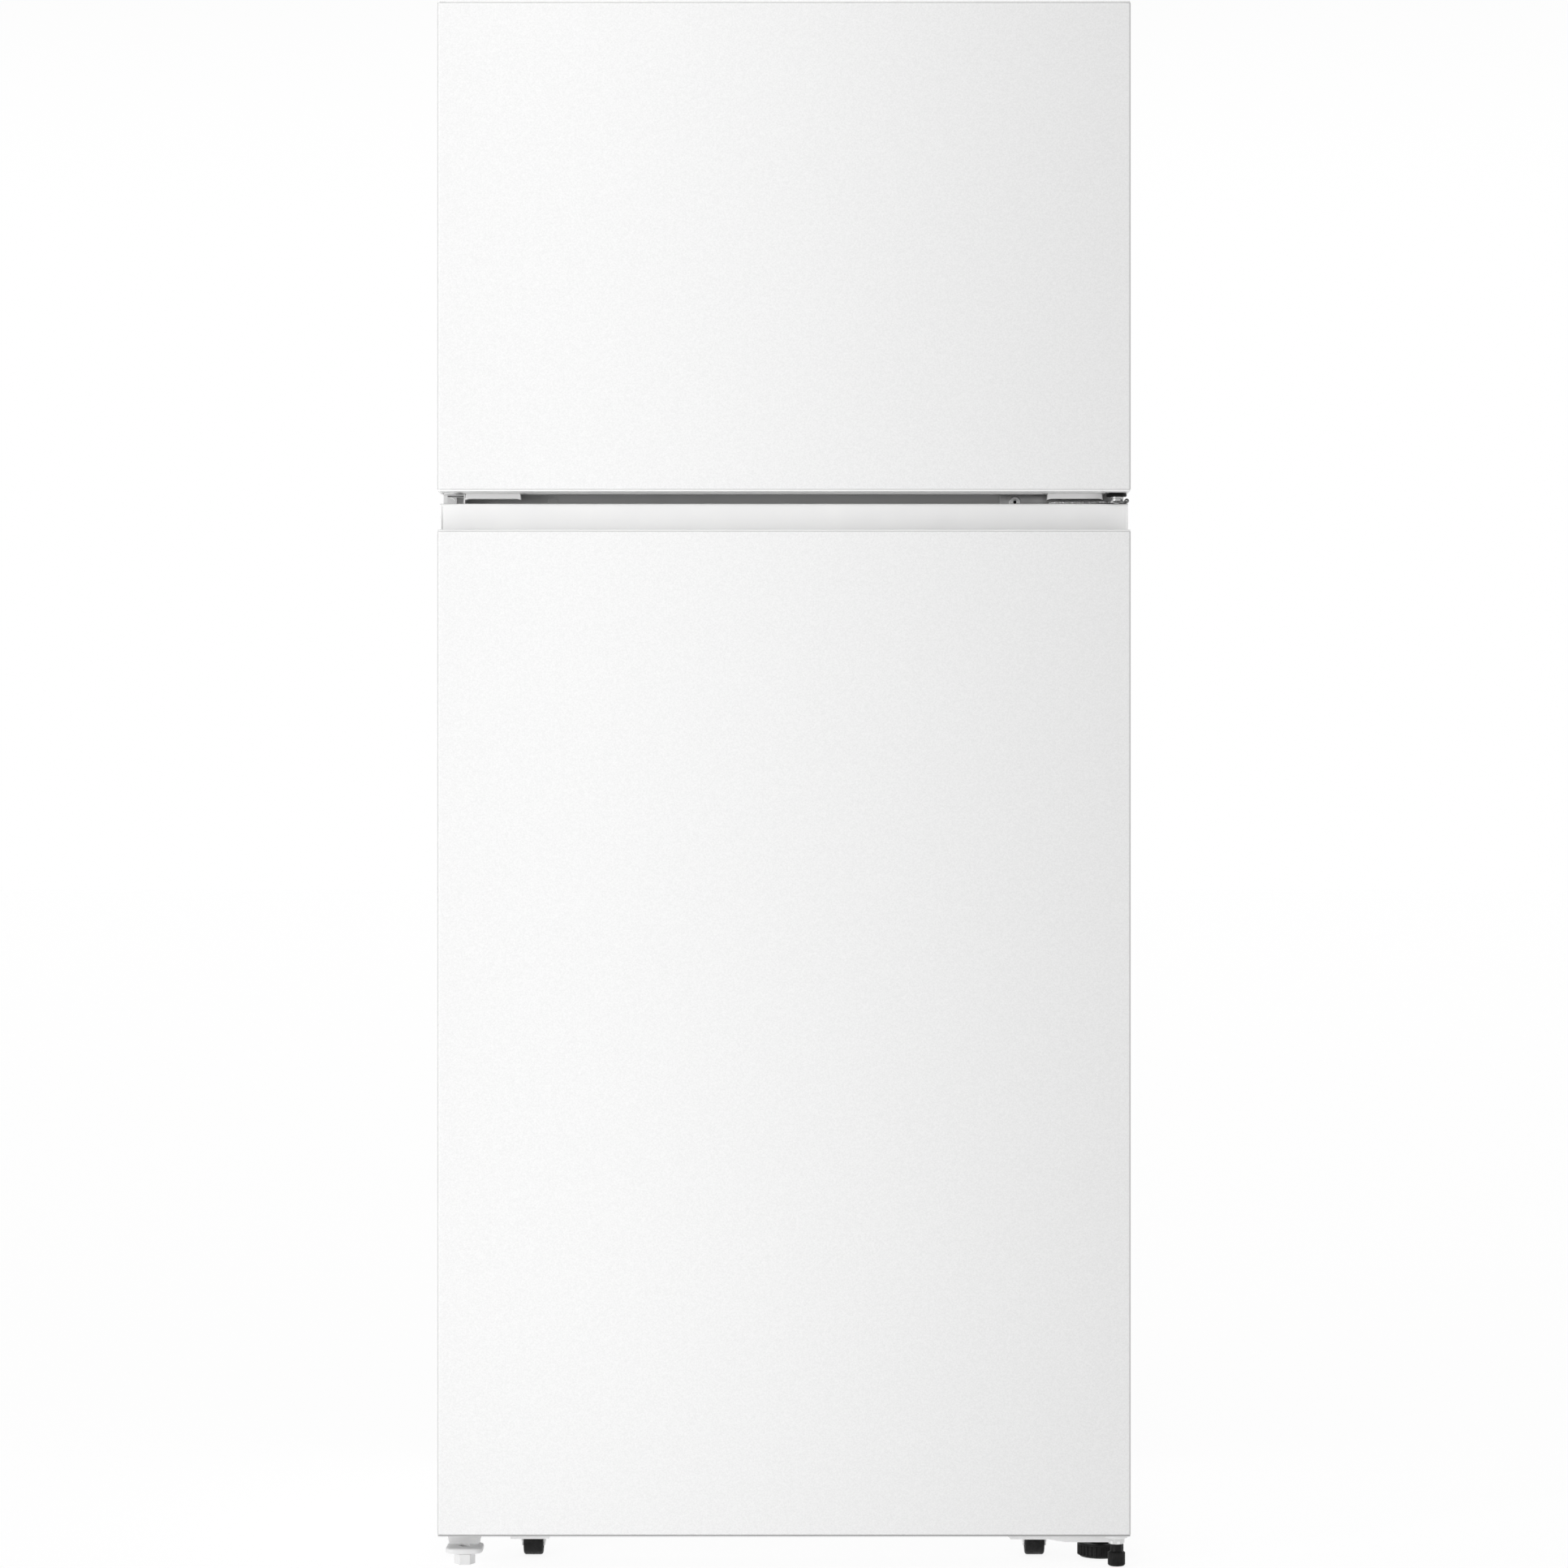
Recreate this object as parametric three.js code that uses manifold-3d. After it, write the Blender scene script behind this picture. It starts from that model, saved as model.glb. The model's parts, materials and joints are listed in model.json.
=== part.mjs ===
// Top-freezer refrigerator with right-hand hinges, two doors and a rear machine compartment.
// Units are millimetres. +X is the hinge side, -Y the front, +Z up.
// The origin is on the floor, under the centre of the refrigerator's bounding box.
import * as THREE from "three";
import { mergeVertices } from "three/addons/utils/BufferGeometryUtils.js";
import Module from "manifold-3d";

const wasm = await Module();
wasm.setup();

// ---- Driving dimensions ----
const GAP = 0.3; // clearance between pieces that touch
const DEPTH = 768;
const FRONT_Y = -DEPTH / 2; // front face of both doors
const BACK_Y = DEPTH / 2; // wall spacers at the back

const DOOR_HALF = 375;
const DOOR_T = 60; // steel skin, front to back
const SKIN = 1;
const EDGE_R = 3; // front vertical edges of a door
const RETURN = 9; // folded flange at the back of a door skin
const LIP = 2; // rim of an end cap that shows past the skin
const LINER_T = 2;
const FREEZER_DOOR_Z = [1170.7, 1697]; // steel skin of the upper door
const FRIDGE_DOOR_Z = [40.2, 1125.2]; // steel skin of the lower door
const HANDLE_RISE = 32.2; // back wall of the lower door's grip above its skin
const GRIP_WALL = 34; // depth of that wall behind the front face

const CASE_HALF = 373;
const CASE_FRONT = FRONT_Y + 76; // plane that the gaskets seal on
const CASE_BACK = BACK_Y - 8;
const CASE_Z = [40, 1688];
const FLANGE_X = 350; // inner edge of the case's front flanges

const CAVITY_HALF = 325;
const CAVITY_BACK = 312;
const FREEZER_Z = [1202, 1636];
const FRIDGE_Z = [100, 1132];
const HUMP = { y: 112, z: 330 }; // step in the fresh-food floor over the machine compartment
const MACHINE = { y: 165, z: 292 }; // front wall and ceiling of the machine compartment

const HINGE_X = 362.5;
const HINGE_Y = FRONT_Y + 40;
const ARM_HALF = 12; // half width of a hinge arm
const ARM_T = 3.5;
const PIN_R = 4;
const PIN_HOLE_R = 4.5;
const TOP_ARM_Z = CASE_Z[1] + GAP;
const MIDDLE_ARM_Z = 1161.5;
const BOTTOM_ARM_Z = 30.5;

// ---- Solids ----
const solidOf = (geometry) => {
  const bare = geometry.clone();
  bare.deleteAttribute("normal");
  bare.deleteAttribute("uv");
  const merged = mergeVertices(bare, 1e-4);
  return new wasm.Manifold(
    new wasm.Mesh({
      numProp: 3,
      vertProperties: merged.attributes.position.array,
      triVerts: new Uint32Array(merged.index.array),
    }),
  );
};

const geometryOf = (solid) => {
  const made = solid.getMesh();
  const geometry = new THREE.BufferGeometry();
  geometry.setAttribute("position", new THREE.BufferAttribute(made.vertProperties, 3));
  geometry.setIndex(new THREE.BufferAttribute(made.triVerts, 1));
  geometry.computeVertexNormals();
  return geometry;
};

const join = (...solids) => solids.reduce((a, b) => a.add(b));
const cut = (solid, ...tools) => tools.reduce((a, b) => a.subtract(b), solid);

const block = ([x0, x1], [y0, y1], [z0, z1]) => {
  const box = new THREE.BoxGeometry(x1 - x0, y1 - y0, z1 - z0);
  box.translate((x0 + x1) / 2, (y0 + y1) / 2, (z0 + z1) / 2);
  return solidOf(box);
};

// A shape drawn in (x, y), (y, z) or (x, z) and extruded along the remaining axis.
const BASES = {
  z: [new THREE.Vector3(1, 0, 0), new THREE.Vector3(0, 1, 0), new THREE.Vector3(0, 0, 1)],
  x: [new THREE.Vector3(0, 1, 0), new THREE.Vector3(0, 0, 1), new THREE.Vector3(1, 0, 0)],
  y: [new THREE.Vector3(1, 0, 0), new THREE.Vector3(0, 0, 1), new THREE.Vector3(0, -1, 0)],
};
const prism = (shape, axis, [from, to], curveSegments = 4) => {
  const options = { depth: to - from, bevelEnabled: false, curveSegments };
  const extruded = new THREE.ExtrudeGeometry(shape, options);
  extruded.applyMatrix4(new THREE.Matrix4().makeBasis(...BASES[axis]));
  const shift = axis === "y" ? to : from; // along y the extrusion runs backwards
  extruded.translate(axis === "x" ? shift : 0, axis === "y" ? shift : 0, axis === "z" ? shift : 0);
  return solidOf(extruded);
};

const outline = (points) => new THREE.Shape(points.map(([u, v]) => new THREE.Vector2(u, v)));

const roundedRect = ([u0, u1], [v0, v1], r) => {
  const s = new THREE.Shape();
  s.moveTo(u0 + r, v0);
  s.lineTo(u1 - r, v0);
  s.absarc(u1 - r, v0 + r, r, -Math.PI / 2, 0, false);
  s.lineTo(u1, v1 - r);
  s.absarc(u1 - r, v1 - r, r, 0, Math.PI / 2, false);
  s.lineTo(u0 + r, v1);
  s.absarc(u0 + r, v1 - r, r, Math.PI / 2, Math.PI, false);
  s.lineTo(u0, v0 + r);
  s.absarc(u0 + r, v0 + r, r, Math.PI, 1.5 * Math.PI, false);
  return s;
};

const rod = (axis, [a, b], r, [from, to], sides = 20) => {
  const cylinder = new THREE.CylinderGeometry(r, r, to - from, sides);
  const middle = (from + to) / 2;
  if (axis === "z") {
    cylinder.rotateX(Math.PI / 2);
    cylinder.translate(a, b, middle);
  } else if (axis === "x") {
    cylinder.rotateZ(Math.PI / 2);
    cylinder.translate(middle, a, b);
  } else {
    cylinder.translate(a, middle, b);
  }
  return solidOf(cylinder);
};

// A profile of [radius, height] points turned about a vertical axis at (x, y).
const turned = (profile, [x, y], sides = 24) => {
  const points = profile.map(([r, z]) => new THREE.Vector2(r, z));
  const lathe = new THREE.LatheGeometry(points, sides);
  lathe.rotateX(Math.PI / 2);
  lathe.translate(x, y, 0);
  return solidOf(lathe);
};

// ---- Materials ----
const finish = (color, roughness, metalness = 0) =>
  new THREE.MeshStandardMaterial({ color, roughness, metalness });
const look = {
  whiteSteel: finish(0xf4f4f4, 0.5),
  whitePlastic: finish(0xeeeeee, 0.45),
  linerPlastic: finish(0xf1f1ef, 0.35),
  clearPlastic: finish(0xdfe7ea, 0.1),
  shelfGlass: finish(0xd5e4e0, 0.05),
  gasket: finish(0xb8babc, 0.7),
  foam: finish(0xe6d9a8, 0.95),
  bareSteel: finish(0xb4b6b8, 0.35, 0.9),
  blackPlastic: finish(0x1b1b1c, 0.5),
  blackSteel: finish(0x202022, 0.45, 0.3),
  aluminium: finish(0xc8cacc, 0.4, 0.9),
};

const cabinet = new THREE.Group();
const freezerDoor = new THREE.Group();
const fridgeDoor = new THREE.Group();

const add = (group, name, solid, material, place = [0, 0, 0]) => {
  const mesh = new THREE.Mesh(geometryOf(solid), material);
  mesh.name = name;
  mesh.position.set(...place);
  group.add(mesh);
};

// ---- Doors ----
// A door group's own frame: x across, y back from the front face, z up from the skin's lower edge.
const GASKET_X = [342, 361]; // inner and outer edge of the seal's side runs
const DIKE_X = [288, 310]; // inner and outer face of the liner's raised frame
const DIKE_DEEP = 32;
const LINER_BACK = DOOR_T + GAP + LINER_T;
const pinAxis = [HINGE_X, HINGE_Y - FRONT_Y];

const doorSkin = (height) => {
  const w = DOOR_HALF;
  const shape = new THREE.Shape();
  shape.moveTo(-w + RETURN, DOOR_T);
  shape.lineTo(-w, DOOR_T);
  shape.lineTo(-w, EDGE_R);
  shape.absarc(-w + EDGE_R, EDGE_R, EDGE_R, Math.PI, 1.5 * Math.PI, false);
  shape.lineTo(w - EDGE_R, 0);
  shape.absarc(w - EDGE_R, EDGE_R, EDGE_R, 1.5 * Math.PI, 2 * Math.PI, false);
  shape.lineTo(w, DOOR_T);
  shape.lineTo(w - RETURN, DOOR_T);
  shape.lineTo(w - RETURN, DOOR_T - SKIN);
  shape.lineTo(w - SKIN, DOOR_T - SKIN);
  shape.lineTo(w - SKIN, EDGE_R);
  shape.absarc(w - EDGE_R, EDGE_R, EDGE_R - SKIN, 0, -Math.PI / 2, true);
  shape.lineTo(-w + EDGE_R, SKIN);
  shape.absarc(-w + EDGE_R, EDGE_R, EDGE_R - SKIN, 1.5 * Math.PI, Math.PI, true);
  shape.lineTo(-w + SKIN, DOOR_T - SKIN);
  shape.lineTo(-w + RETURN, DOOR_T - SKIN);
  return prism(shape, "z", [0, height]);
};

const PLUG_HALF = DOOR_HALF - SKIN - 0.6; // the part of a cap that slides into the skin
const PLUG_Y = [SKIN + 1.2, DOOR_T - SKIN - 0.6];
const plug = (z) => block([-PLUG_HALF, PLUG_HALF], PLUG_Y, z);
const capRim = (z) => prism(roundedRect([-DOOR_HALF + 0.4, DOOR_HALF - 0.4], [0.4, DOOR_T], 2.6), "z", z);

const doorFoam = ([z0, z1]) => block([-PLUG_HALF, PLUG_HALF], PLUG_Y, [z0, z1]);

// Flat sheet with a raised frame that stands inside the cabinet and carries the bins.
const doorLiner = (sheetZ, dikeZ) => {
  const sheet = block([-DOOR_HALF + 2.5, DOOR_HALF - 2.5], [DOOR_T + GAP, LINER_BACK], sheetZ);
  const back = LINER_BACK + DIKE_DEEP;
  const wall = DIKE_X[1] - DIKE_X[0];
  const frame = cut(
    prism(roundedRect([-DIKE_X[1], DIKE_X[1]], dikeZ, 14), "y", [LINER_BACK - 1, back]),
    prism(
      roundedRect([-DIKE_X[0], DIKE_X[0]], [dikeZ[0] + wall, dikeZ[1] - wall], 8),
      "y",
      [LINER_BACK - 2, back + 1],
    ),
  );
  return join(sheet, frame);
};

const doorGasket = ([z0, z1]) => {
  const width = GASKET_X[1] - GASKET_X[0];
  const y = [LINER_BACK + GAP, CASE_FRONT - FRONT_Y - GAP];
  return cut(
    prism(roundedRect([-GASKET_X[1], GASKET_X[1]], [z0, z1], 4), "y", y, 2),
    block([-GASKET_X[0], GASKET_X[0]], [y[0] - 1, y[1] + 1], [z0 + width, z1 - width]),
  );
};

const BIN_HALF = DIKE_X[0] - 1.5;
const BIN_WALL = 2.5;
const doorBin = (z0, height, deep) => {
  const y = [LINER_BACK + 0.5, LINER_BACK + 0.5 + deep];
  return cut(
    prism(roundedRect([-BIN_HALF, BIN_HALF], y, 12), "z", [z0, z0 + height], 3),
    prism(
      roundedRect([-BIN_HALF + BIN_WALL, BIN_HALF - BIN_WALL], [y[0] + BIN_WALL, y[1] - BIN_WALL], 9.5),
      "z",
      [z0 + BIN_WALL, z0 + height + 1],
      3,
    ),
  );
};

// Upper door
const FREEZER_H = FREEZER_DOOR_Z[1] - FREEZER_DOOR_Z[0];
const TOP_POCKET = 11.5; // room for the hinge arm in the upper door's top
const TOP_PLUG = 28;
const GRIP_X = 283; // half length of the finger groove in the upper door's lower edge
const GRIP_Y = [26, 50];
const STOP_X = [287, 348]; // blocks beside the groove, one at each end
const freezerTopPocket = block([345, 376], [14, 61], [FREEZER_H - TOP_POCKET, FREEZER_H + 5]);

const freezerTopCap = () =>
  cut(
    join(plug([FREEZER_H - TOP_PLUG, FREEZER_H + 1]), capRim([FREEZER_H + GAP, FREEZER_H + LIP])),
    freezerTopPocket,
    rod("z", pinAxis, PIN_HOLE_R, [FREEZER_H - TOP_PLUG + 2, FREEZER_H], 16),
  );

const freezerBottomCap = () => {
  const plugTop = 24;
  const stop = ([x0, x1]) => {
    const [top, low, arch] = [-1, -8.8, -7.6];
    const flare = 4;
    const s = new THREE.Shape();
    s.moveTo(x0 + 1, top);
    s.lineTo(x0, low);
    s.lineTo(x0 + flare, arch);
    s.lineTo(x1 - flare, arch);
    s.lineTo(x1, low);
    s.lineTo(x1 - 1, top);
    return prism(s, "y", [50, DOOR_T]);
  };
  const corner = ([x0, x1]) => block([x0, x1], [24, 61], [-4, 6]);
  return cut(
    join(
      cut(
        join(plug([-1, plugTop]), capRim([-LIP, -GAP])),
        prism(roundedRect([-GRIP_X, GRIP_X], GRIP_Y, 8), "z", [-4, 17]),
        corner([350, 372]),
        corner([-372, -350]),
      ),
      stop(STOP_X),
      stop([-STOP_X[1], -STOP_X[0]]),
    ),
    rod("z", pinAxis, PIN_HOLE_R, [-1, plugTop - 2], 16),
  );
};

add(freezerDoor, "freezer_door_skin", cut(doorSkin(FREEZER_H), freezerTopPocket), look.whiteSteel);
add(freezerDoor, "freezer_door_top_cap", freezerTopCap(), look.whitePlastic);
add(freezerDoor, "freezer_door_bottom_cap", freezerBottomCap(), look.whitePlastic);
add(freezerDoor, "freezer_door_foam", doorFoam([24 + GAP, FREEZER_H - TOP_PLUG - GAP]), look.foam);
const freezerLocal = (z) => z.map((value) => value - FREEZER_DOOR_Z[0]);
add(
  freezerDoor,
  "freezer_door_liner",
  doorLiner([2, FREEZER_H - 14], freezerLocal([1214, 1624])),
  look.linerPlastic,
);
add(freezerDoor, "freezer_door_gasket", doorGasket(freezerLocal([1177, 1661])), look.gasket);
const FREEZER_BINS = { lower: [1240, 90], upper: [1440, 75] }; // floor level and height
for (const [level, [z, height]] of Object.entries(FREEZER_BINS)) {
  const solid = doorBin(z - FREEZER_DOOR_Z[0], height, 92);
  add(freezerDoor, `freezer_bin_${level}`, solid, look.clearPlastic);
}
freezerDoor.position.set(0, FRONT_Y, FREEZER_DOOR_Z[0]);

// Lower door
const FRIDGE_H = FRIDGE_DOOR_Z[1] - FRIDGE_DOOR_Z[0];
const GROOVE = { front: 9.5, deep: 26 }; // finger groove behind the lower door's top edge
const HANDLE_PLUG = 32;

// Rim, groove and back wall of the grip, as a section in (y, z) with z from the skin's top.
const handleSection = () => {
  const r = (GRIP_WALL - GROOVE.front) / 2;
  const s = new THREE.Shape();
  s.moveTo(0.4, GAP);
  s.lineTo(0.4, LIP - 1);
  s.absarc(1.4, LIP - 1, 1, Math.PI, Math.PI / 2, true);
  s.lineTo(GROOVE.front - 1, LIP);
  s.lineTo(GROOVE.front, LIP - 1);
  s.lineTo(GROOVE.front, r - GROOVE.deep);
  s.absarc(GROOVE.front + r, r - GROOVE.deep, r, Math.PI, 2 * Math.PI, false);
  s.lineTo(GRIP_WALL, HANDLE_RISE - 3);
  s.absarc(GRIP_WALL + 3, HANDLE_RISE - 3, 3, Math.PI, Math.PI / 2, true);
  s.lineTo(DOOR_T, HANDLE_RISE);
  s.lineTo(DOOR_T, GAP);
  s.lineTo(PLUG_Y[1], GAP);
  s.lineTo(PLUG_Y[1], -HANDLE_PLUG);
  s.lineTo(PLUG_Y[0], -HANDLE_PLUG);
  s.lineTo(PLUG_Y[0], GAP);
  return s;
};

const fridgeTopCap = () => {
  const rimHalf = DOOR_HALF - 0.4;
  const whole = prism(handleSection(), "x", [-rimHalf, rimHalf], 6);
  const sideClear = (x) => block(x, [-1, DOOR_T + 1], [-HANDLE_PLUG - 1, GAP]);
  const endWall = (x) => block(x, PLUG_Y, [-HANDLE_PLUG, 0]);
  const made = join(
    cut(whole, sideClear([PLUG_HALF, DOOR_HALF]), sideClear([-DOOR_HALF, -PLUG_HALF])),
    endWall([PLUG_HALF - 3, PLUG_HALF]),
    endWall([-PLUG_HALF, -PLUG_HALF + 3]),
  );
  const pinHole = rod("z", pinAxis, PIN_HOLE_R, [HANDLE_RISE - 20, HANDLE_RISE + 1], 16);
  return cut(made, pinHole);
};

const fridgeBottomCap = () =>
  cut(
    join(plug([-1, 20]), capRim([-LIP, -GAP])),
    rod("z", pinAxis, PIN_HOLE_R, [-LIP - 1, 16], 16),
  );

add(fridgeDoor, "fridge_door_skin", doorSkin(FRIDGE_H), look.whiteSteel);
add(fridgeDoor, "fridge_door_handle_cap", fridgeTopCap(), look.whitePlastic, [0, 0, FRIDGE_H]);
add(fridgeDoor, "fridge_door_bottom_cap", fridgeBottomCap(), look.whitePlastic);
add(fridgeDoor, "fridge_door_foam", doorFoam([20 + GAP, FRIDGE_H - HANDLE_PLUG - GAP]), look.foam);
const fridgeLocal = (z) => z.map((value) => value - FRIDGE_DOOR_Z[0]);
const fridgeLiner = doorLiner([2, FRIDGE_H + HANDLE_RISE - 2.5], fridgeLocal([112, 1120]));
add(fridgeDoor, "fridge_door_liner", fridgeLiner, look.linerPlastic);
add(fridgeDoor, "fridge_door_gasket", doorGasket(fridgeLocal([78, 1151])), look.gasket);

const FRIDGE_BINS = { lower: [140, 110], middle: [455, 85], upper: [700, 85] };
for (const [level, [z, height]] of Object.entries(FRIDGE_BINS)) {
  const solid = doorBin(z - FRIDGE_DOOR_Z[0], height, 112);
  add(fridgeDoor, `fridge_bin_${level}`, solid, look.clearPlastic);
}

// Dairy bin with a flap that pivots on stub pins at its upper rear edge
const DAIRY = { z: 920, height: 78, deep: 82, flapLip: 52, pivotUp: 7, pivotY: 8 };
const dairyTop = DAIRY.z + DAIRY.height - FRIDGE_DOOR_Z[0];
const flapAxis = [LINER_BACK + DAIRY.pivotY, dairyTop + DAIRY.pivotUp]; // (y, z)
const dairyBin = doorBin(DAIRY.z - FRIDGE_DOOR_Z[0], DAIRY.height, DAIRY.deep);
const dairyEar = (x) => {
  const plate = block(x, [LINER_BACK + 0.5, LINER_BACK + 16], [dairyTop - 20, dairyTop + 14]);
  return cut(plate, rod("x", flapAxis, 3.3, [x[0] - 1, x[1] + 1], 12));
};
const dairyWithEars = join(
  dairyBin,
  dairyEar([BIN_HALF - 4, BIN_HALF]),
  dairyEar([-BIN_HALF, -BIN_HALF + 4]),
);
add(fridgeDoor, "dairy_bin", dairyWithEars, look.clearPlastic);

const dairyFlap = () => {
  const half = BIN_HALF - 5;
  const front = LINER_BACK + 0.5 + DAIRY.deep + 1 + 2.5;
  const [y, z] = flapAxis;
  const r = 4;
  const s = new THREE.Shape();
  s.moveTo(y, z - 4);
  s.lineTo(front - 2.5 - r, z - 4);
  s.absarc(front - 2.5 - r, z - 4 - r, r, Math.PI / 2, 0, true);
  s.lineTo(front - 2.5, z - DAIRY.flapLip);
  s.lineTo(front, z - DAIRY.flapLip);
  s.lineTo(front, z - 4 - r);
  s.absarc(front - 2.5 - r, z - 4 - r, r + 2.5, 0, Math.PI / 2, false);
  s.lineTo(y, z - 1.5);
  return join(
    prism(s, "x", [-half, half]),
    rod("x", flapAxis, 5, [-half, half], 12),
    rod("x", flapAxis, 2.8, [-BIN_HALF + 1, BIN_HALF - 1], 12),
  );
};
add(fridgeDoor, "dairy_flap", dairyFlap(), look.clearPlastic);
fridgeDoor.position.set(0, FRONT_Y, FRIDGE_DOOR_Z[0]);

// ---- Cabinet shell ----
const outerCase = () => {
  const [z0, z1] = CASE_Z;
  const shell = cut(
    block([-CASE_HALF, CASE_HALF], [CASE_FRONT, CASE_BACK], [z0, z1]),
    block([-CASE_HALF + 1, CASE_HALF - 1], [CASE_FRONT + 1, CASE_BACK + 1], [z0 - 1, z1 - 1]),
    block([-FLANGE_X, FLANGE_X], [CASE_FRONT - 1, CASE_FRONT + 2], [z0 - 1, FREEZER_Z[1] + 26]),
  );
  return shell;
};
add(cabinet, "outer_case", outerCase(), look.whiteSteel);

const INNER_HALF = CASE_HALF - 1 - GAP;
const SPACER = { x: [190, 240], z: [1450, 1520] };
const backPanel = () => {
  const z = [MACHINE.z + 1, CASE_Z[1] - 1.5];
  const sheet = block([-INNER_HALF, INNER_HALF], [CASE_BACK - 1, CASE_BACK], z);
  const spacer = ([x0, x1]) =>
    prism(roundedRect([x0, x1], SPACER.z, 8), "y", [CASE_BACK - 0.5, BACK_Y], 3);
  return join(sheet, spacer(SPACER.x), spacer([-SPACER.x[1], -SPACER.x[0]]));
};
add(cabinet, "back_panel", backPanel(), look.bareSteel);

// Front flange, floor, and the step that walls off the machine compartment, as one folded pan
const ROLLER = { r: 17, half: 10.8, axle: 3 };
const FRONT_ROLLER = { x: 276.6, y: FRONT_Y + 108, z: ROLLER.r + GAP };
const REAR_ROLLER = { x: 330, y: 335, z: ROLLER.r };

// Two cheeks under the pan with an axle across them
const axleCheeks = (x, { y, z }, top) =>
  join(
    block([x - 14.2, x - 12.2], [y - 14, y + 14], [z - 6, top]),
    block([x + 12.2, x + 14.2], [y - 14, y + 14], [z - 6, top]),
    rod("x", [y, z], ROLLER.axle, [x - 14, x + 14], 12),
  );

const basePan = () => {
  const t = 1.5;
  const [z0] = CASE_Z;
  const section = outline([
    [CASE_FRONT, FRIDGE_Z[0] - 24.5],
    [CASE_FRONT, z0 - t],
    [CASE_BACK - 2, z0 - t],
    [CASE_BACK - 2, z0],
    [MACHINE.y, z0],
    [MACHINE.y, MACHINE.z - t],
    [CASE_BACK - 2, MACHINE.z - t],
    [CASE_BACK - 2, MACHINE.z],
    [MACHINE.y - t, MACHINE.z],
    [MACHINE.y - t, z0],
    [CASE_FRONT + t, z0],
    [CASE_FRONT + t, FRIDGE_Z[0] - 24.5],
  ]);
  const folded = join(
    prism(section, "x", [-INNER_HALF, INNER_HALF]),
    axleCheeks(REAR_ROLLER.x, REAR_ROLLER, z0 - 0.5),
    axleCheeks(-REAR_ROLLER.x, REAR_ROLLER, z0 - 0.5),
  );
  const flangeClear = (x) =>
    block(x, [CASE_FRONT - 1, CASE_FRONT + 1 + GAP], [z0 - GAP, FRIDGE_Z[0]]);
  return cut(
    folded,
    flangeClear([FLANGE_X - GAP, CASE_HALF]),
    flangeClear([-CASE_HALF, -FLANGE_X + GAP]),
  );
};
add(cabinet, "base_pan", basePan(), look.bareSteel);

// Outside of each food liner, used for the liner itself and for the space it leaves in the foam
const linerOutside = ([z0, z1], grow = 0) =>
  block(
    [-CAVITY_HALF - LINER_T - grow, CAVITY_HALF + LINER_T + grow],
    [CASE_FRONT - 1, CAVITY_BACK + LINER_T + grow],
    [z0 - LINER_T - grow, z1 + LINER_T + grow],
  );
const stepSolid = (grow) =>
  block(
    [-CASE_HALF, CASE_HALF],
    [HUMP.y + grow, CASE_BACK],
    [FRIDGE_Z[0] - 20, HUMP.z - grow],
  );
const fridgeOutside = (grow) => cut(linerOutside(FRIDGE_Z, grow), stepSolid(LINER_T + grow));

const cabinetFoam = () =>
  cut(
    block(
      [-INNER_HALF, INNER_HALF],
      [CASE_FRONT + 2 + GAP, CASE_BACK - 1 - GAP],
      [CASE_Z[0] + GAP, CASE_Z[1] - 1 - GAP],
    ),
    linerOutside(FREEZER_Z, GAP),
    fridgeOutside(GAP),
    block([-CASE_HALF, CASE_HALF], [MACHINE.y - 1.5 - GAP, CASE_BACK], [0, MACHINE.z + GAP]),
  );
add(cabinet, "cabinet_foam", cabinetFoam(), look.foam);

const RAIL = { in: 10, high: 8, y: [-186, 300] }; // ledges that carry the shelves
const rails = (z, y = RAIL.y) =>
  join(
    block([CAVITY_HALF - RAIL.in, CAVITY_HALF + 1], y, [z - RAIL.high, z]),
    block([-CAVITY_HALF - 1, -CAVITY_HALF + RAIL.in], y, [z - RAIL.high, z]),
  );
const SHELF_Z = { freezer: 1408, upper: 852, lower: 600, crisper: 340 }; // top of each pair of ledges

const inFront = ([z0, z1]) =>
  block([-CASE_HALF, CASE_HALF], [CASE_FRONT - 2, CASE_FRONT], [z0 - 9, z1 + 9]);
const frontFlange = (z) => block([-FLANGE_X + GAP, FLANGE_X - GAP], [CASE_FRONT, CASE_FRONT + 2], z);
const cavity = ([z0, z1]) => block([-CAVITY_HALF, CAVITY_HALF], [CASE_FRONT - 2, CAVITY_BACK], [z0, z1]);

const freezerLiner = () => {
  const [z0, z1] = FREEZER_Z;
  const walls = cut(linerOutside(FREEZER_Z), inFront([z0, z1]));
  const shell = cut(join(walls, frontFlange([z0 - LINER_T, z1 + 26 - GAP])), cavity(FREEZER_Z));
  return join(shell, rails(SHELF_Z.freezer, [RAIL.y[0], 230]));
};
add(cabinet, "freezer_liner", freezerLiner(), look.linerPlastic);

const fridgeLinerShell = () => {
  const [z0, z1] = FRIDGE_Z;
  const walls = cut(fridgeOutside(0), inFront([z0, z1]));
  const inside = cut(cavity(FRIDGE_Z), stepSolid(0));
  const shell = cut(join(walls, frontFlange([z0 - 24, z1 + LINER_T])), inside);
  return join(shell, rails(SHELF_Z.upper), rails(SHELF_Z.lower), rails(SHELF_Z.crisper));
};
add(cabinet, "fridge_liner", fridgeLinerShell(), look.linerPlastic);

const mullionRail = block(
  [-FLANGE_X + GAP, FLANGE_X - GAP],
  [CASE_FRONT, CASE_FRONT + 2],
  [FRIDGE_Z[1] + LINER_T + GAP, FREEZER_Z[0] - LINER_T - GAP],
);
add(cabinet, "mullion_rail", mullionRail, look.whiteSteel);

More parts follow.
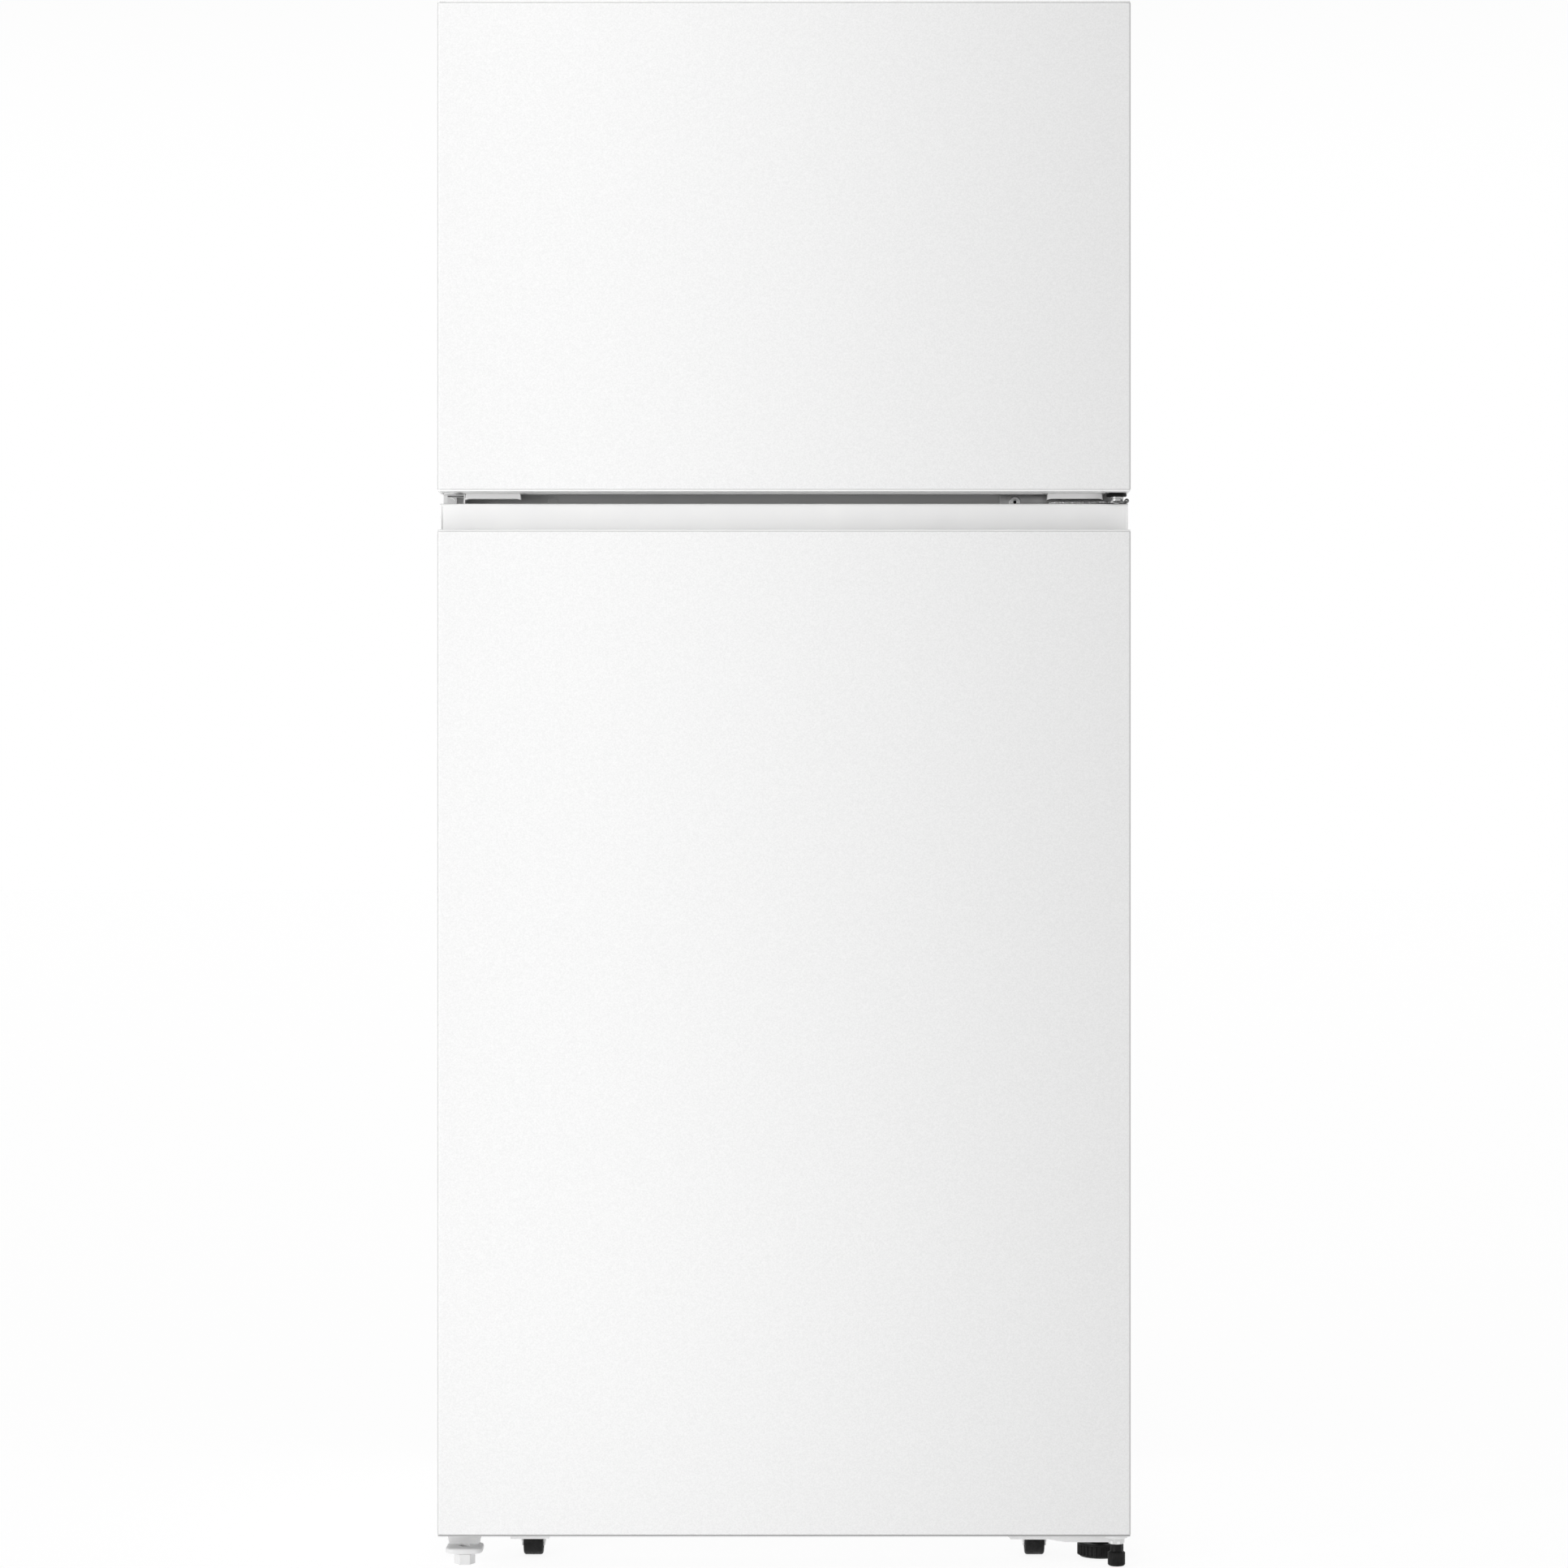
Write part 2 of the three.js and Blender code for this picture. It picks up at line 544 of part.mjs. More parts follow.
// ---- Hinges ----
const armShape = (toY) => {
  const s = new THREE.Shape();
  s.moveTo(HINGE_X - ARM_HALF, toY);
  s.lineTo(HINGE_X - ARM_HALF, HINGE_Y);
  s.absarc(HINGE_X, HINGE_Y, ARM_HALF, Math.PI, 2 * Math.PI, false);
  s.lineTo(HINGE_X + ARM_HALF - 1, toY);
  return s;
};
const pin = (z) => rod("z", [HINGE_X, HINGE_Y], PIN_R, z, 16);

const topHinge = () =>
  join(
    prism(armShape(CASE_FRONT + 70), "z", [TOP_ARM_Z, TOP_ARM_Z + ARM_T]),
    prism(
      roundedRect([HINGE_X - 55, HINGE_X + ARM_HALF - 1], [CASE_FRONT + 8, CASE_FRONT + 70], 6),
      "z",
      [TOP_ARM_Z, TOP_ARM_Z + ARM_T],
    ),
    pin([TOP_ARM_Z - 13, TOP_ARM_Z + 1]),
  );
add(cabinet, "top_hinge", topHinge(), look.bareSteel);

const topHingeCover = () => {
  const z = [TOP_ARM_Z + ARM_T + GAP, TOP_ARM_Z + 19];
  const outside = join(
    prism(
      roundedRect([HINGE_X - 62, HINGE_X + ARM_HALF - 1], [CASE_FRONT + 4, CASE_FRONT + 100], 10),
      "z",
      z,
    ),
    prism(armShape(CASE_FRONT + 20), "z", [z[0], z[1] - 4]),
  );
  const inside = block(
    [HINGE_X - 58, HINGE_X + 7],
    [CASE_FRONT + 8, CASE_FRONT + 96],
    [z[0] - 1, z[1] - 2.5],
  );
  return cut(outside, inside);
};
add(cabinet, "top_hinge_cover", topHingeCover(), look.whitePlastic);

// Plates screwed to the cabinet's front, each with an arm folded forward to the pins
const PLATE_Y = [CASE_FRONT - GAP - 3, CASE_FRONT - GAP];

const middleHinge = () => {
  const z = [MIDDLE_ARM_Z, MIDDLE_ARM_Z + ARM_T];
  const holes = [254, 294].map((x) => rod("y", [x, 1164], 3, [CASE_FRONT - 9, CASE_FRONT + 1], 12));
  return join(
    cut(prism(roundedRect([236.5, CASE_HALF - 1], [1153.5, 1173.5], 3), "y", PLATE_Y, 2), ...holes),
    prism(armShape(CASE_FRONT - GAP - 1), "z", z),
    pin([z[0] - 17, z[1] + 17]),
    rod("z", [HINGE_X, HINGE_Y], 8, [z[0] - 1.8, z[1] + 4.6]),
  );
};
add(cabinet, "middle_hinge", middleHinge(), look.bareSteel);

const bottomHinge = () => {
  const z = [BOTTOM_ARM_Z, BOTTOM_ARM_Z + ARM_T];
  const [left, right] = [246, CASE_HALF - 1];
  const [edge, low, top] = [22.4, 19.4, 70]; // the lower edge steps down under the arm
  const nutLow = 24;
  const washerHigh = 3.6;
  const plate = outline([
    [left, top], [left, edge + 3], [left + 3, edge], [291, edge], [309, low], [right, low], [right, top],
  ]);
  return join(
    prism(plate, "y", PLATE_Y),
    prism(armShape(CASE_FRONT - GAP - 1), "z", z),
    pin([z[0], z[1] + 20]),
    rod("z", [HINGE_X, HINGE_Y], 8, [nutLow, z[1] + washerHigh]),
  );
};
add(cabinet, "bottom_hinge", bottomHinge(), look.bareSteel);

// ---- Feet and rollers ----
const FOOT_X = -349;
const FOOT_Y = HINGE_Y + 12;
const footBracket = () => {
  const [x0, x1] = [FOOT_X - 20.2, FOOT_X + 20.2];
  const back = CASE_FRONT - GAP;
  const bore = rod("z", [FOOT_X, FOOT_Y], 5.75, [11, 21], 20);
  const plate = cut(
    prism(roundedRect([x0, x1], [FOOT_Y - 19, back], 10), "z", [13, 19.6]),
    bore,
  );
  const web = outline([[x0 + 2.5, 18], [x1 - 4, 18], [x1 - 1, 27], [x1 + 1.5, 37.7], [x0, 37.7], [x0, 27]]);
  const tab = block([x0, x1 + 1.5], [back - 3, back], [36, 70]);
  return join(plate, prism(web, "y", [FOOT_Y + 9, back]), tab);
};
add(cabinet, "left_foot_bracket", footBracket(), look.whitePlastic);

const HEX_TURN = 22; // puts a flat nearly square to the front
const hexFoot = () => {
  const head = turned([[0, 0], [11, 0], [11.8, 1], [11.8, 10.6], [11, 11.6], [0, 11.6]], [0, 0], 6);
  return join(head, rod("z", [0, 0], 5, [11, 17], 16)).rotate([0, 0, HEX_TURN]);
};
add(cabinet, "left_leveling_foot", hexFoot(), look.whitePlastic, [FOOT_X, FOOT_Y, 0]);

const hingeFootProfile = [[0, 0], [8.3, 0], [9.5, 1.5], [9.5, 15.3], [6.7, 15.8], [6.7, 23.6], [0, 23.6]];
add(cabinet, "hinge_side_foot", turned(hingeFootProfile, [HINGE_X, HINGE_Y]), look.blackPlastic);

// Ribbed wheel that is turned by hand to level the hinge side
const RIBS = 28;
const levelingWheel = () => {
  const centre = [349.3, FRONT_Y + 100];
  const points = [];
  for (let i = 0; i < RIBS * 4; i++) {
    const r = i % 4 < 2 ? 25.6 : 24.2;
    const angle = (2 * Math.PI * (i + 0.5)) / (RIBS * 4);
    points.push([centre[0] + r * Math.cos(angle), centre[1] + r * Math.sin(angle)]);
  }
  return join(
    prism(outline(points), "z", [1.5, 14]),
    turned([[0, 0], [20, 0], [24, 2], [24, 16], [0, 16]], centre),
    rod("z", centre, 5, [15, CASE_Z[0] - 2], 12),
  );
};
add(cabinet, "right_leveling_wheel", levelingWheel(), look.blackPlastic);

const roller = () => {
  const { r, half } = ROLLER;
  const barrel = turned(
    [[ROLLER.axle + 0.5, -half], [r - 2.5, -half], [r, -half + 3], [r, half - 3], [r - 2.5, half],
      [ROLLER.axle + 0.5, half], [ROLLER.axle + 0.5, -half]],
    [0, 0],
    20,
  );
  return barrel.rotate([0, 90, 0]);
};

// Pressed fork with the axle riveted across it
const rollerFork = ({ x, y, z }, skirtX) => {
  const top = CASE_Z[0] - 1.5 - GAP;
  const cheek = (side) =>
    block([x + side * 11.9 - 0.8, x + side * 11.9 + 0.8], [y - 8, y + 8], [z - 6, top]);
  const skirt = prism(
    outline([[skirtX[0], top], [skirtX[0] + 5, 20.5], [skirtX[1] - 9, 20.5], [skirtX[1], top]]),
    "y",
    [y - 20.5, y - 18.5],
  );
  return join(
    block([x - 12.9, x + 12.9], [y - 19, y + 19], [top - 1.5, top]),
    cheek(1),
    cheek(-1),
    skirt,
    rod("x", [y, z], ROLLER.axle, [x - 13.6, x + 13.6], 12),
  );
};
for (const [side, sign] of [["left", -1], ["right", 1]]) {
  const { x, y, z } = FRONT_ROLLER;
  const skirt = sign < 0 ? [-306, -250] : [246, 291];
  add(cabinet, `front_roller_fork_${side}`, rollerFork({ x: sign * x, y, z }, skirt), look.whiteSteel);
  add(cabinet, `front_roller_${side}`, roller(), look.blackPlastic, [sign * x, y, z]);
}
for (const [side, sign] of [["left", -1], ["right", 1]]) {
  const { x, y, z } = REAR_ROLLER;
  add(cabinet, `rear_roller_${side}`, roller(), look.blackPlastic, [sign * x, y, z]);
}

// ---- Shelves and crispers ----
const shelf = (z, [y0, y1]) => {
  const half = CAVITY_HALF - 1.5;
  const slab = block([-half, half], [y0, y1], [z, z + 6]);
  const noseEnds = [-half + RAIL.in, half - RAIL.in];
  const nose = prism(roundedRect([y0 - 6, y0 + 12], [z - 4, z + 10], 3), "x", noseEnds);
  const upstand = block([-half, half], [y1 - 6, y1], [z + 5, z + 16]);
  return join(slab, nose, upstand);
};
add(cabinet, "freezer_shelf", shelf(SHELF_Z.freezer + GAP, [-188, 222]), look.shelfGlass);
add(cabinet, "glass_shelf_upper", shelf(SHELF_Z.upper + GAP, [-188, 276]), look.shelfGlass);
add(cabinet, "glass_shelf_lower", shelf(SHELF_Z.lower + GAP, [-188, 276]), look.shelfGlass);
add(cabinet, "crisper_cover", shelf(SHELF_Z.crisper + GAP, [-158, 276]), look.shelfGlass);

const CRISPER = { x: [4, 316], y: [-158, 104], z: [103, 322], wall: 2.5 };
const crisper = () => {
  const { x, y, z, wall } = CRISPER;
  const inset = ([a, b]) => [a + wall, b - wall];
  const tub = cut(
    prism(roundedRect(x, y, 16), "z", z, 3),
    prism(roundedRect(inset(x), inset(y), 14), "z", [z[0] + wall, z[1] + 1], 3),
  );
  const lip = block([x[0] + 18, x[1] - 18], [y[0] - 10, y[0] + 1], [z[1] - 12, z[1] - 8]);
  const lipFront = block([x[0] + 18, x[1] - 18], [y[0] - 12, y[0] - 9], [z[1] - 34, z[1] - 8]);
  return join(tub, lip, lipFront);
};
add(cabinet, "crisper_right", crisper(), look.clearPlastic);
add(cabinet, "crisper_left", crisper().mirror([1, 0, 0]), look.clearPlastic);

// ---- Air system and controls ----
const slots = (x, z0, count, pitch, high, y) =>
  Array.from({ length: count }, (_, i) => block(x, y, [z0 + i * pitch, z0 + i * pitch + high]));

const EVAPORATOR_Y = 238; // back of the freezer's rear panel
const FAN = { x: 0, z: 1540, r: 52 };
const freezerBackPanel = () => {
  const y = [EVAPORATOR_Y - 3, EVAPORATOR_Y];
  const through = [y[0] - 1, y[1] + 1];
  return cut(
    block([-CAVITY_HALF + 0.5, CAVITY_HALF - 0.5], y, [FREEZER_Z[0] + GAP, FREEZER_Z[1] - GAP]),
    ...slots([-60, 60], FAN.z - 44, 7, 14, 7, through),
    ...slots([-290, -170], FREEZER_Z[0] + 12, 3, 12, 6, through),
    ...slots([170, 290], FREEZER_Z[0] + 12, 3, 12, 6, through),
  );
};
add(cabinet, "freezer_back_panel", freezerBackPanel(), look.linerPlastic);

const FINS = 12;
const evaporator = () => {
  const [x0, pitch] = [-240, 480 / FINS];
  const core = [254, 300];
  const fins = [];
  for (let i = 0; i <= FINS; i++) {
    const x = x0 + i * pitch;
    fins.push(block([x - 0.8, x + 0.8], core, [1218, 1400]));
  }
  const rows = [1250, 1309, 1368];
  const tubes = rows.map((z) => rod("x", [277, z], 5, [x0 - 12, -x0 + 12], 6));
  const ends = rows.slice(1).map((z, i) => {
    const x = i % 2 ? x0 - 12 : -x0 + 12;
    return block([x - 4, x + 4], [273, 281], [z - 63, z + 4]);
  });
  return join(...fins, ...tubes, ...ends);
};
add(cabinet, "evaporator", evaporator(), look.aluminium);

// Axial fan blades about the z axis, centred on the origin
const fanBlades = (radius, thick, count) => {
  const hub = rod("z", [0, 0], radius * 0.28, [-thick / 2, thick / 2], 16);
  const blades = Array.from({ length: count }, (_, i) =>
    block([radius * 0.2, radius * 0.97], [-radius * 0.24, radius * 0.24], [-0.9, 0.9])
      .rotate([28, 0, 0])
      .rotate([0, 0, (360 / count) * i]),
  );
  return join(hub, ...blades);
};
const evaporatorBlades = fanBlades(FAN.r, 16, 5).rotate([90, 0, 0]);
add(cabinet, "evaporator_fan_blade", evaporatorBlades, look.whitePlastic, [FAN.x, 262, FAN.z]);

const evaporatorFanMotor = () =>
  join(
    rod("y", [FAN.x, FAN.z], 20, [278, 300]),
    rod("y", [FAN.x, FAN.z], 3, [271, 279], 12),
    block([-70, 70], [298, 302], [FAN.z - 9, FAN.z + 9]),
    block([-70, -64], [300, CAVITY_BACK - GAP], [FAN.z - 9, FAN.z + 9]),
    block([64, 70], [300, CAVITY_BACK - GAP], [FAN.z - 9, FAN.z + 9]),
  );
add(cabinet, "evaporator_fan_motor", evaporatorFanMotor(), look.blackSteel);

const DUCT = { half: 105, y: [284, CAVITY_BACK - GAP], z: [345, 1084] };
const airDuct = () => {
  const openings = [425, 700, 960].flatMap((z) =>
    [-80, 30].flatMap((x) => slots([x, x + 50], z, 3, 14, 7, [DUCT.y[0] - 1, DUCT.y[0] + 4])),
  );
  const shell = cut(
    prism(roundedRect([-DUCT.half, DUCT.half], DUCT.y, 8), "z", DUCT.z),
    block([-DUCT.half + 4, DUCT.half - 4], [DUCT.y[0] + 3, DUCT.y[1] - 3], [DUCT.z[0] + 3, DUCT.z[1] + 1]),
  );
  return cut(shell, ...openings);
};
add(cabinet, "fridge_air_duct", airDuct(), look.linerPlastic);

const CONTROL = { half: 135, y: [-70, 283], z: [1092, FRIDGE_Z[1] - GAP], knobX: 70 };
const controlHousing = () => {
  const shape = outline([
    [CONTROL.y[0], CONTROL.z[1]],
    [CONTROL.y[0], CONTROL.z[0] + 2],
    [CONTROL.y[0] + 10, CONTROL.z[0]],
    [CONTROL.y[1], CONTROL.z[0]],
    [CONTROL.y[1], CONTROL.z[1]],
  ]);
  const shaftHole = rod("y", [CONTROL.knobX, 1112], 3.5, [CONTROL.y[0] - 1, CONTROL.y[0] + 12], 12);
  return cut(prism(shape, "x", [-CONTROL.half, CONTROL.half]), shaftHole);
};
add(cabinet, "control_housing", controlHousing(), look.linerPlastic);

const knob = () => {
  const grip = block([-3, 3], [-14, 14], [-17, -7]);
  return join(
    rod("z", [0, 0], 16, [-8, -1], 24),
    grip,
    rod("z", [0, 0], 3, [-2, 10], 12),
  ).rotate([-90, 0, 0]);
};
add(cabinet, "temperature_knob", knob(), look.whitePlastic, [CONTROL.knobX, CONTROL.y[0], 1112]);

// ---- Machine compartment ----
const COMPRESSOR = [-175, 262];
const compressor = () => {
  const z = CASE_Z[0] + GAP;
  const shell = turned(
    [[0, z + 12], [48, z + 12], [72, z + 26], [82, z + 52], [84, z + 76], [82, z + 84], [84, z + 92],
      [80, z + 118], [66, z + 140], [38, z + 152], [0, z + 155]],
    COMPRESSOR,
    20,
  );
  const [x, y] = COMPRESSOR;
  const plate = prism(roundedRect([x - 96, x + 96], [y - 62, y + 62], 12), "z", [z + 9, z + 13]);
  const feet = [[-82, -48], [82, -48], [-82, 48], [82, 48]].map(([dx, dy]) =>
    rod("z", [x + dx, y + dy], 11, [z, z + 20], 12),
  );
  const relay = block([x + 60, x + 104], [y - 30, y + 30], [z + 56, z + 106]);
  return join(shell, plate, ...feet, relay);
};
add(cabinet, "compressor", compressor(), look.blackSteel);

const drainPan = () => {
  const [x, y] = COMPRESSOR;
  const z = CASE_Z[0] + 168;
  return cut(
    prism(roundedRect([x - 110, x + 110], [y - 78, y + 88], 14), "z", [z, z + 34], 3),
    prism(roundedRect([x - 107, x + 107], [y - 75, y + 85], 11), "z", [z + 3, z + 35], 3),
  );
};
add(cabinet, "drain_pan", drainPan(), look.blackPlastic);

const CONDENSER_FAN = { x: -20, y: 266, z: 152, r: 70 };
const condenserFanFrame = () => {
  const { x, y, z, r } = CONDENSER_FAN;
  const plate = cut(
    block([x - 12, x + 12], [y - 88, y + 88], [CASE_Z[0] + GAP, z + 90]),
    rod("x", [y, z], r + 4, [x - 13, x + 13], 28),
  );
  const strut = block([x + 9, x + 16], [y - 84, y + 84], [z - 7, z + 7]);
  return join(plate, strut, rod("x", [y, z], 22, [x + 10, x + 38]));
};
add(cabinet, "condenser_fan_frame", condenserFanFrame(), look.blackPlastic);
const condenserBlades = fanBlades(CONDENSER_FAN.r, 16, 5).rotate([0, 90, 0]);
add(cabinet, "condenser_fan_blade", condenserBlades, look.blackPlastic, [
  CONDENSER_FAN.x - 2,
  CONDENSER_FAN.y,
  CONDENSER_FAN.z,
]);

// Serpentine tube between two end plates
const condenserCoil = () => {
  const rows = [70, 114, 158, 202, 246];
  const [x0, x1] = [70, 330];
  const planes = [215, 265, 315];
  const tubes = planes.flatMap((y) => rows.map((z) => rod("x", [y, z], 4, [x0, x1], 6)));
  const bends = planes.flatMap((y) =>
    rows.slice(1).map((z, i) => {
      const x = i % 2 ? x0 : x1;
      return block([x - 3, x + 3], [y - 3, y + 3], [z - 45, z + 1]);
    }),
  );
  const plate = (x) => block([x - 1, x + 1], [planes[0] - 12, planes[2] + 12], [CASE_Z[0] + GAP, 262]);
  return join(...tubes, ...bends, plate(95), plate(305));
};
add(cabinet, "condenser_coil", condenserCoil(), look.blackSteel);

const GLAND = { x: 300, z: 235 };
const rearCover = () => {
  const y = [CASE_BACK - 1, CASE_BACK];
  const through = [y[0] - 1, y[1] + 1];
  const vents = [-300, -175, -50, 75, 200].flatMap((x) => slots([x, x + 95], 90, 6, 17, 7, through));
  return cut(
    block([-INNER_HALF, INNER_HALF], y, [CASE_Z[0] + GAP, MACHINE.z + 1 - GAP]),
    rod("y", [GLAND.x, GLAND.z], 9, through, 16),
    ...vents,
  );
};
add(cabinet, "rear_access_cover", rearCover(), look.bareSteel);

const cordGland = () => {
  const bush = (r, y) => rod("y", [GLAND.x, GLAND.z], r, y, 20);
  return cut(
    join(bush(8.6, [CASE_BACK - 6, CASE_BACK + 2]), bush(12, [CASE_BACK + GAP, CASE_BACK + 4])),
    bush(4.2, [CASE_BACK - 10, CASE_BACK + 10]),
  );
};
add(cabinet, "cord_gland", cordGland(), look.blackPlastic);

const refrigerator = new THREE.Group();
refrigerator.add(cabinet, freezerDoor, fridgeDoor);

export default refrigerator;
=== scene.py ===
"""Top-freezer refrigerator: the finished surfaces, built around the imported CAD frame.

Shapes are drawn in millimetres, in the CAD's own frame, and turn into metres as each mesh is made.
"""

import json
import math

import bmesh
import bpy
from mathutils import Matrix, Vector

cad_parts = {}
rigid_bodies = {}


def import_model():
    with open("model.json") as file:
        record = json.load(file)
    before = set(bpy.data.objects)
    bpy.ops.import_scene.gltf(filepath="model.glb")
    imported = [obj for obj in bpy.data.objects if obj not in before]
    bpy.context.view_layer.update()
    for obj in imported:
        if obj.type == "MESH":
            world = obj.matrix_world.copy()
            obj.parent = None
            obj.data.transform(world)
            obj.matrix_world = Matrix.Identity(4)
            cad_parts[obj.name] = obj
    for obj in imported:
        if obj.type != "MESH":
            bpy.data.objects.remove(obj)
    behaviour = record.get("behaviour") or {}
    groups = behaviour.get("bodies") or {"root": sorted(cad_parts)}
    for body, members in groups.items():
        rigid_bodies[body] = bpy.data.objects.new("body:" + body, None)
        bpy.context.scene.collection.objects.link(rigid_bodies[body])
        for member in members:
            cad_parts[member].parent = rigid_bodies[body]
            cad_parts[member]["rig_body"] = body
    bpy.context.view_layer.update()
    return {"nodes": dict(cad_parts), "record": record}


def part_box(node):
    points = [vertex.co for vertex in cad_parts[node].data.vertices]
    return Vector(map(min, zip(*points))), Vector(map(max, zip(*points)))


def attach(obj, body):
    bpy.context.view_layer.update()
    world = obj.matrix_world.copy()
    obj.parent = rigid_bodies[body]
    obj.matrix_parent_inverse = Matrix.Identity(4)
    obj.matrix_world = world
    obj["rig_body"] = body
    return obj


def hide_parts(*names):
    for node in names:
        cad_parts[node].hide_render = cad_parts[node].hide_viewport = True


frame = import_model()
MM = 0.001
NODES = frame["nodes"]
SIDES = (-1, 1)


def box(node):
    """A node's lowest and highest corners, in millimetres."""
    low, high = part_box(node)
    return low / MM, high / MM


def placed(name, data):
    """A new object in the scene."""
    obj = bpy.data.objects.new(name, data)
    bpy.context.scene.collection.objects.link(obj)
    return obj


FRONT, DOOR_BACK = (corner.y for corner in box("fridge_door_skin"))
CASE_FRONT, CASE_BACK = (corner.y for corner in box("outer_case"))
HINGE = (362.5, -344)


# ---- Camera, stage and light: metres here, not millimetres ----
def feed(node, inputs):
    """Sets inputs by name or number: another node's output is linked, a plain value is set."""
    for key, value in inputs.items():
        if isinstance(value, bpy.types.NodeSocket):
            node.id_data.links.new(value, node.inputs[key])
        else:
            node.inputs[key].default_value = value


def add_node(tree, kind, inputs, **settings):
    node = tree.nodes.new(kind)
    for key, value in settings.items():
        setattr(node, key, value)
    feed(node, inputs)
    return node


def add_camera():
    """A long lens, square to the doors, at mid height."""
    data = bpy.data.cameras.new("camera")
    data.lens = 99.8
    data.sensor_width = 36
    data.clip_end = 60
    camera = placed("camera", data)
    distance, height = 4.7, 0.852
    camera.location = (0, FRONT * MM - distance, height)
    camera.rotation_euler = (math.radians(90), 0, 0)
    bpy.context.scene.camera = camera


def add_floor():
    reach = 30
    corners = [(-reach, -reach, 0), (reach, -reach, 0), (reach, reach, 0), (-reach, reach, 0)]
    mesh = bpy.data.meshes.new("floor")
    mesh.from_pydata(corners, [], [(0, 1, 2, 3)])
    material = bpy.data.materials.new("floor")
    material.use_nodes = True
    feed(material.node_tree.nodes["Principled BSDF"], {
        "Base Color": rgba(0.16), "Roughness": 0.9, "Specular IOR Level": 0.1,
        "Emission Color": rgba(1.0), "Emission Strength": 0.885,
    })
    mesh.materials.append(material)
    placed("floor", mesh)


def add_world():
    """A white room, dimmer overhead and towards the front right."""
    world = bpy.data.worlds.new("studio")
    bpy.context.scene.world = world
    world.use_nodes = True
    tree = world.node_tree

    def falloff(value, start, end, dim):
        """1 up to start, then down to dim at end."""
        inputs = {"Value": value, "From Min": start, "From Max": end, "To Min": 1, "To Max": dim}
        return add_node(tree, "ShaderNodeMapRange", inputs, interpolation_type="SMOOTHSTEP").outputs[0]

    generated = tree.nodes.new("ShaderNodeTexCoord").outputs["Generated"]
    x, y, z = add_node(tree, "ShaderNodeSeparateXYZ", {0: generated}).outputs
    corner = add_node(tree, "ShaderNodeMath", {0: x, 1: y}, operation="SUBTRACT").outputs[0]
    shares = {0: falloff(z, 0.12, 0.6, 0.46), 1: falloff(corner, 0.3, 1.3, 0.86)}
    strength = add_node(tree, "ShaderNodeMath", shares, operation="MULTIPLY").outputs[0]
    feed(tree.nodes["Background"], {"Color": rgba(1.0), "Strength": strength})


def add_key_light():
    data = bpy.data.lights.new("key", "AREA")
    data.spread = math.radians(30)
    data.shape = "RECTANGLE"
    data.size, data.size_y = 0.6, 2.6
    data.energy = 3.6
    light = placed("key", data)
    light.location = (-2.0, -2.3, 1.3)
    aim = Vector((-0.2, -0.384, 1.0)) - light.location
    light.rotation_euler = aim.to_track_quat("-Z", "Y").to_euler()


def add_studio():
    bpy.context.scene.view_settings.view_transform = "Standard"
    add_camera()
    add_floor()
    add_world()
    add_key_light()


# ---- Materials ----
def rgba(tone):
    """A grey from one number, or a colour from three."""
    return (tone, tone, tone, 1) if isinstance(tone, float) else (*tone, 1)


class Finish:
    """A material whose colour, roughness and bump each follow a pattern of their own."""

    def __init__(self, name, tone, rough, bump, constants):
        self.material = bpy.data.materials.new(name)
        self.material.use_nodes = True
        self.tree = self.material.node_tree
        self.shader = self.tree.nodes["Principled BSDF"]
        self.place = self.tree.nodes.new("ShaderNodeTexCoord").outputs["Object"]
        pattern, dark, light = tone
        ramp = self.add("ShaderNodeValToRGB", {"Fac": self.pattern(*pattern)})
        for element, position, colour in zip(ramp.color_ramp.elements, (0.3, 0.7), (dark, light)):
            element.position = position
            element.color = rgba(colour)
        self.colour = ramp.outputs["Color"]
        pattern, low, high = rough
        spread = {"From Min": 0.3, "From Max": 0.7, "To Min": low, "To Max": high}
        spread = self.add("ShaderNodeMapRange", {"Value": self.pattern(*pattern), **spread})
        feed(self.shader, {"Base Color": self.colour, "Roughness": spread.outputs[0]})
        self.normal = None
        if bump:
            self.bump(*bump)
        feed(self.shader, constants)

    def add(self, kind, inputs, **settings):
        return add_node(self.tree, kind, inputs, **settings)

    def pattern(self, scale, detail=None, roughness=0.5):
        """Noise, or round cells where no detail is given."""
        if detail is None:
            inputs = {"Vector": self.place, "Scale": scale}
            return self.add("ShaderNodeTexVoronoi", inputs).outputs["Distance"]
        inputs = {"Vector": self.place, "Scale": scale, "Detail": detail, "Roughness": roughness}
        return self.add("ShaderNodeTexNoise", inputs).outputs["Fac"]

    def bump(self, pattern, depth, strength):
        """Relief in millimetres, over any relief that is there already."""
        inputs = {"Height": self.pattern(*pattern), "Distance": depth * MM, "Strength": strength}
        if self.normal:
            inputs["Normal"] = self.normal
        self.normal = self.add("ShaderNodeBump", inputs).outputs["Normal"]
        feed(self.shader, {"Normal": self.normal})

    def maths(self, operation, *values):
        return self.add("ShaderNodeMath", dict(enumerate(values)), operation=operation).outputs[0]

    def paint_edge_shade(self, inner, outer, front, tone):
        """Painted shade on the doors' rounded side edges: multiplies the colour by tone past |x| = outer, ahead
        of y = front.
        """
        x, y, _ = self.add("ShaderNodeSeparateXYZ", {0: self.place}).outputs
        inputs = {"Value": self.maths("ABSOLUTE", x), "From Min": inner * MM, "From Max": outer * MM}
        share = self.add("ShaderNodeMapRange", inputs, interpolation_type="SMOOTHSTEP").outputs[0]
        amount = self.maths("MULTIPLY", share, self.maths("LESS_THAN", y, front * MM))
        factor, first, second, result = 0, 6, 7, 2
        inputs = {factor: amount, first: self.colour, second: rgba(tone)}
        mix = self.add("ShaderNodeMix", inputs, data_type="RGBA", blend_type="MULTIPLY")
        feed(self.shader, {"Base Color": mix.outputs[result]})


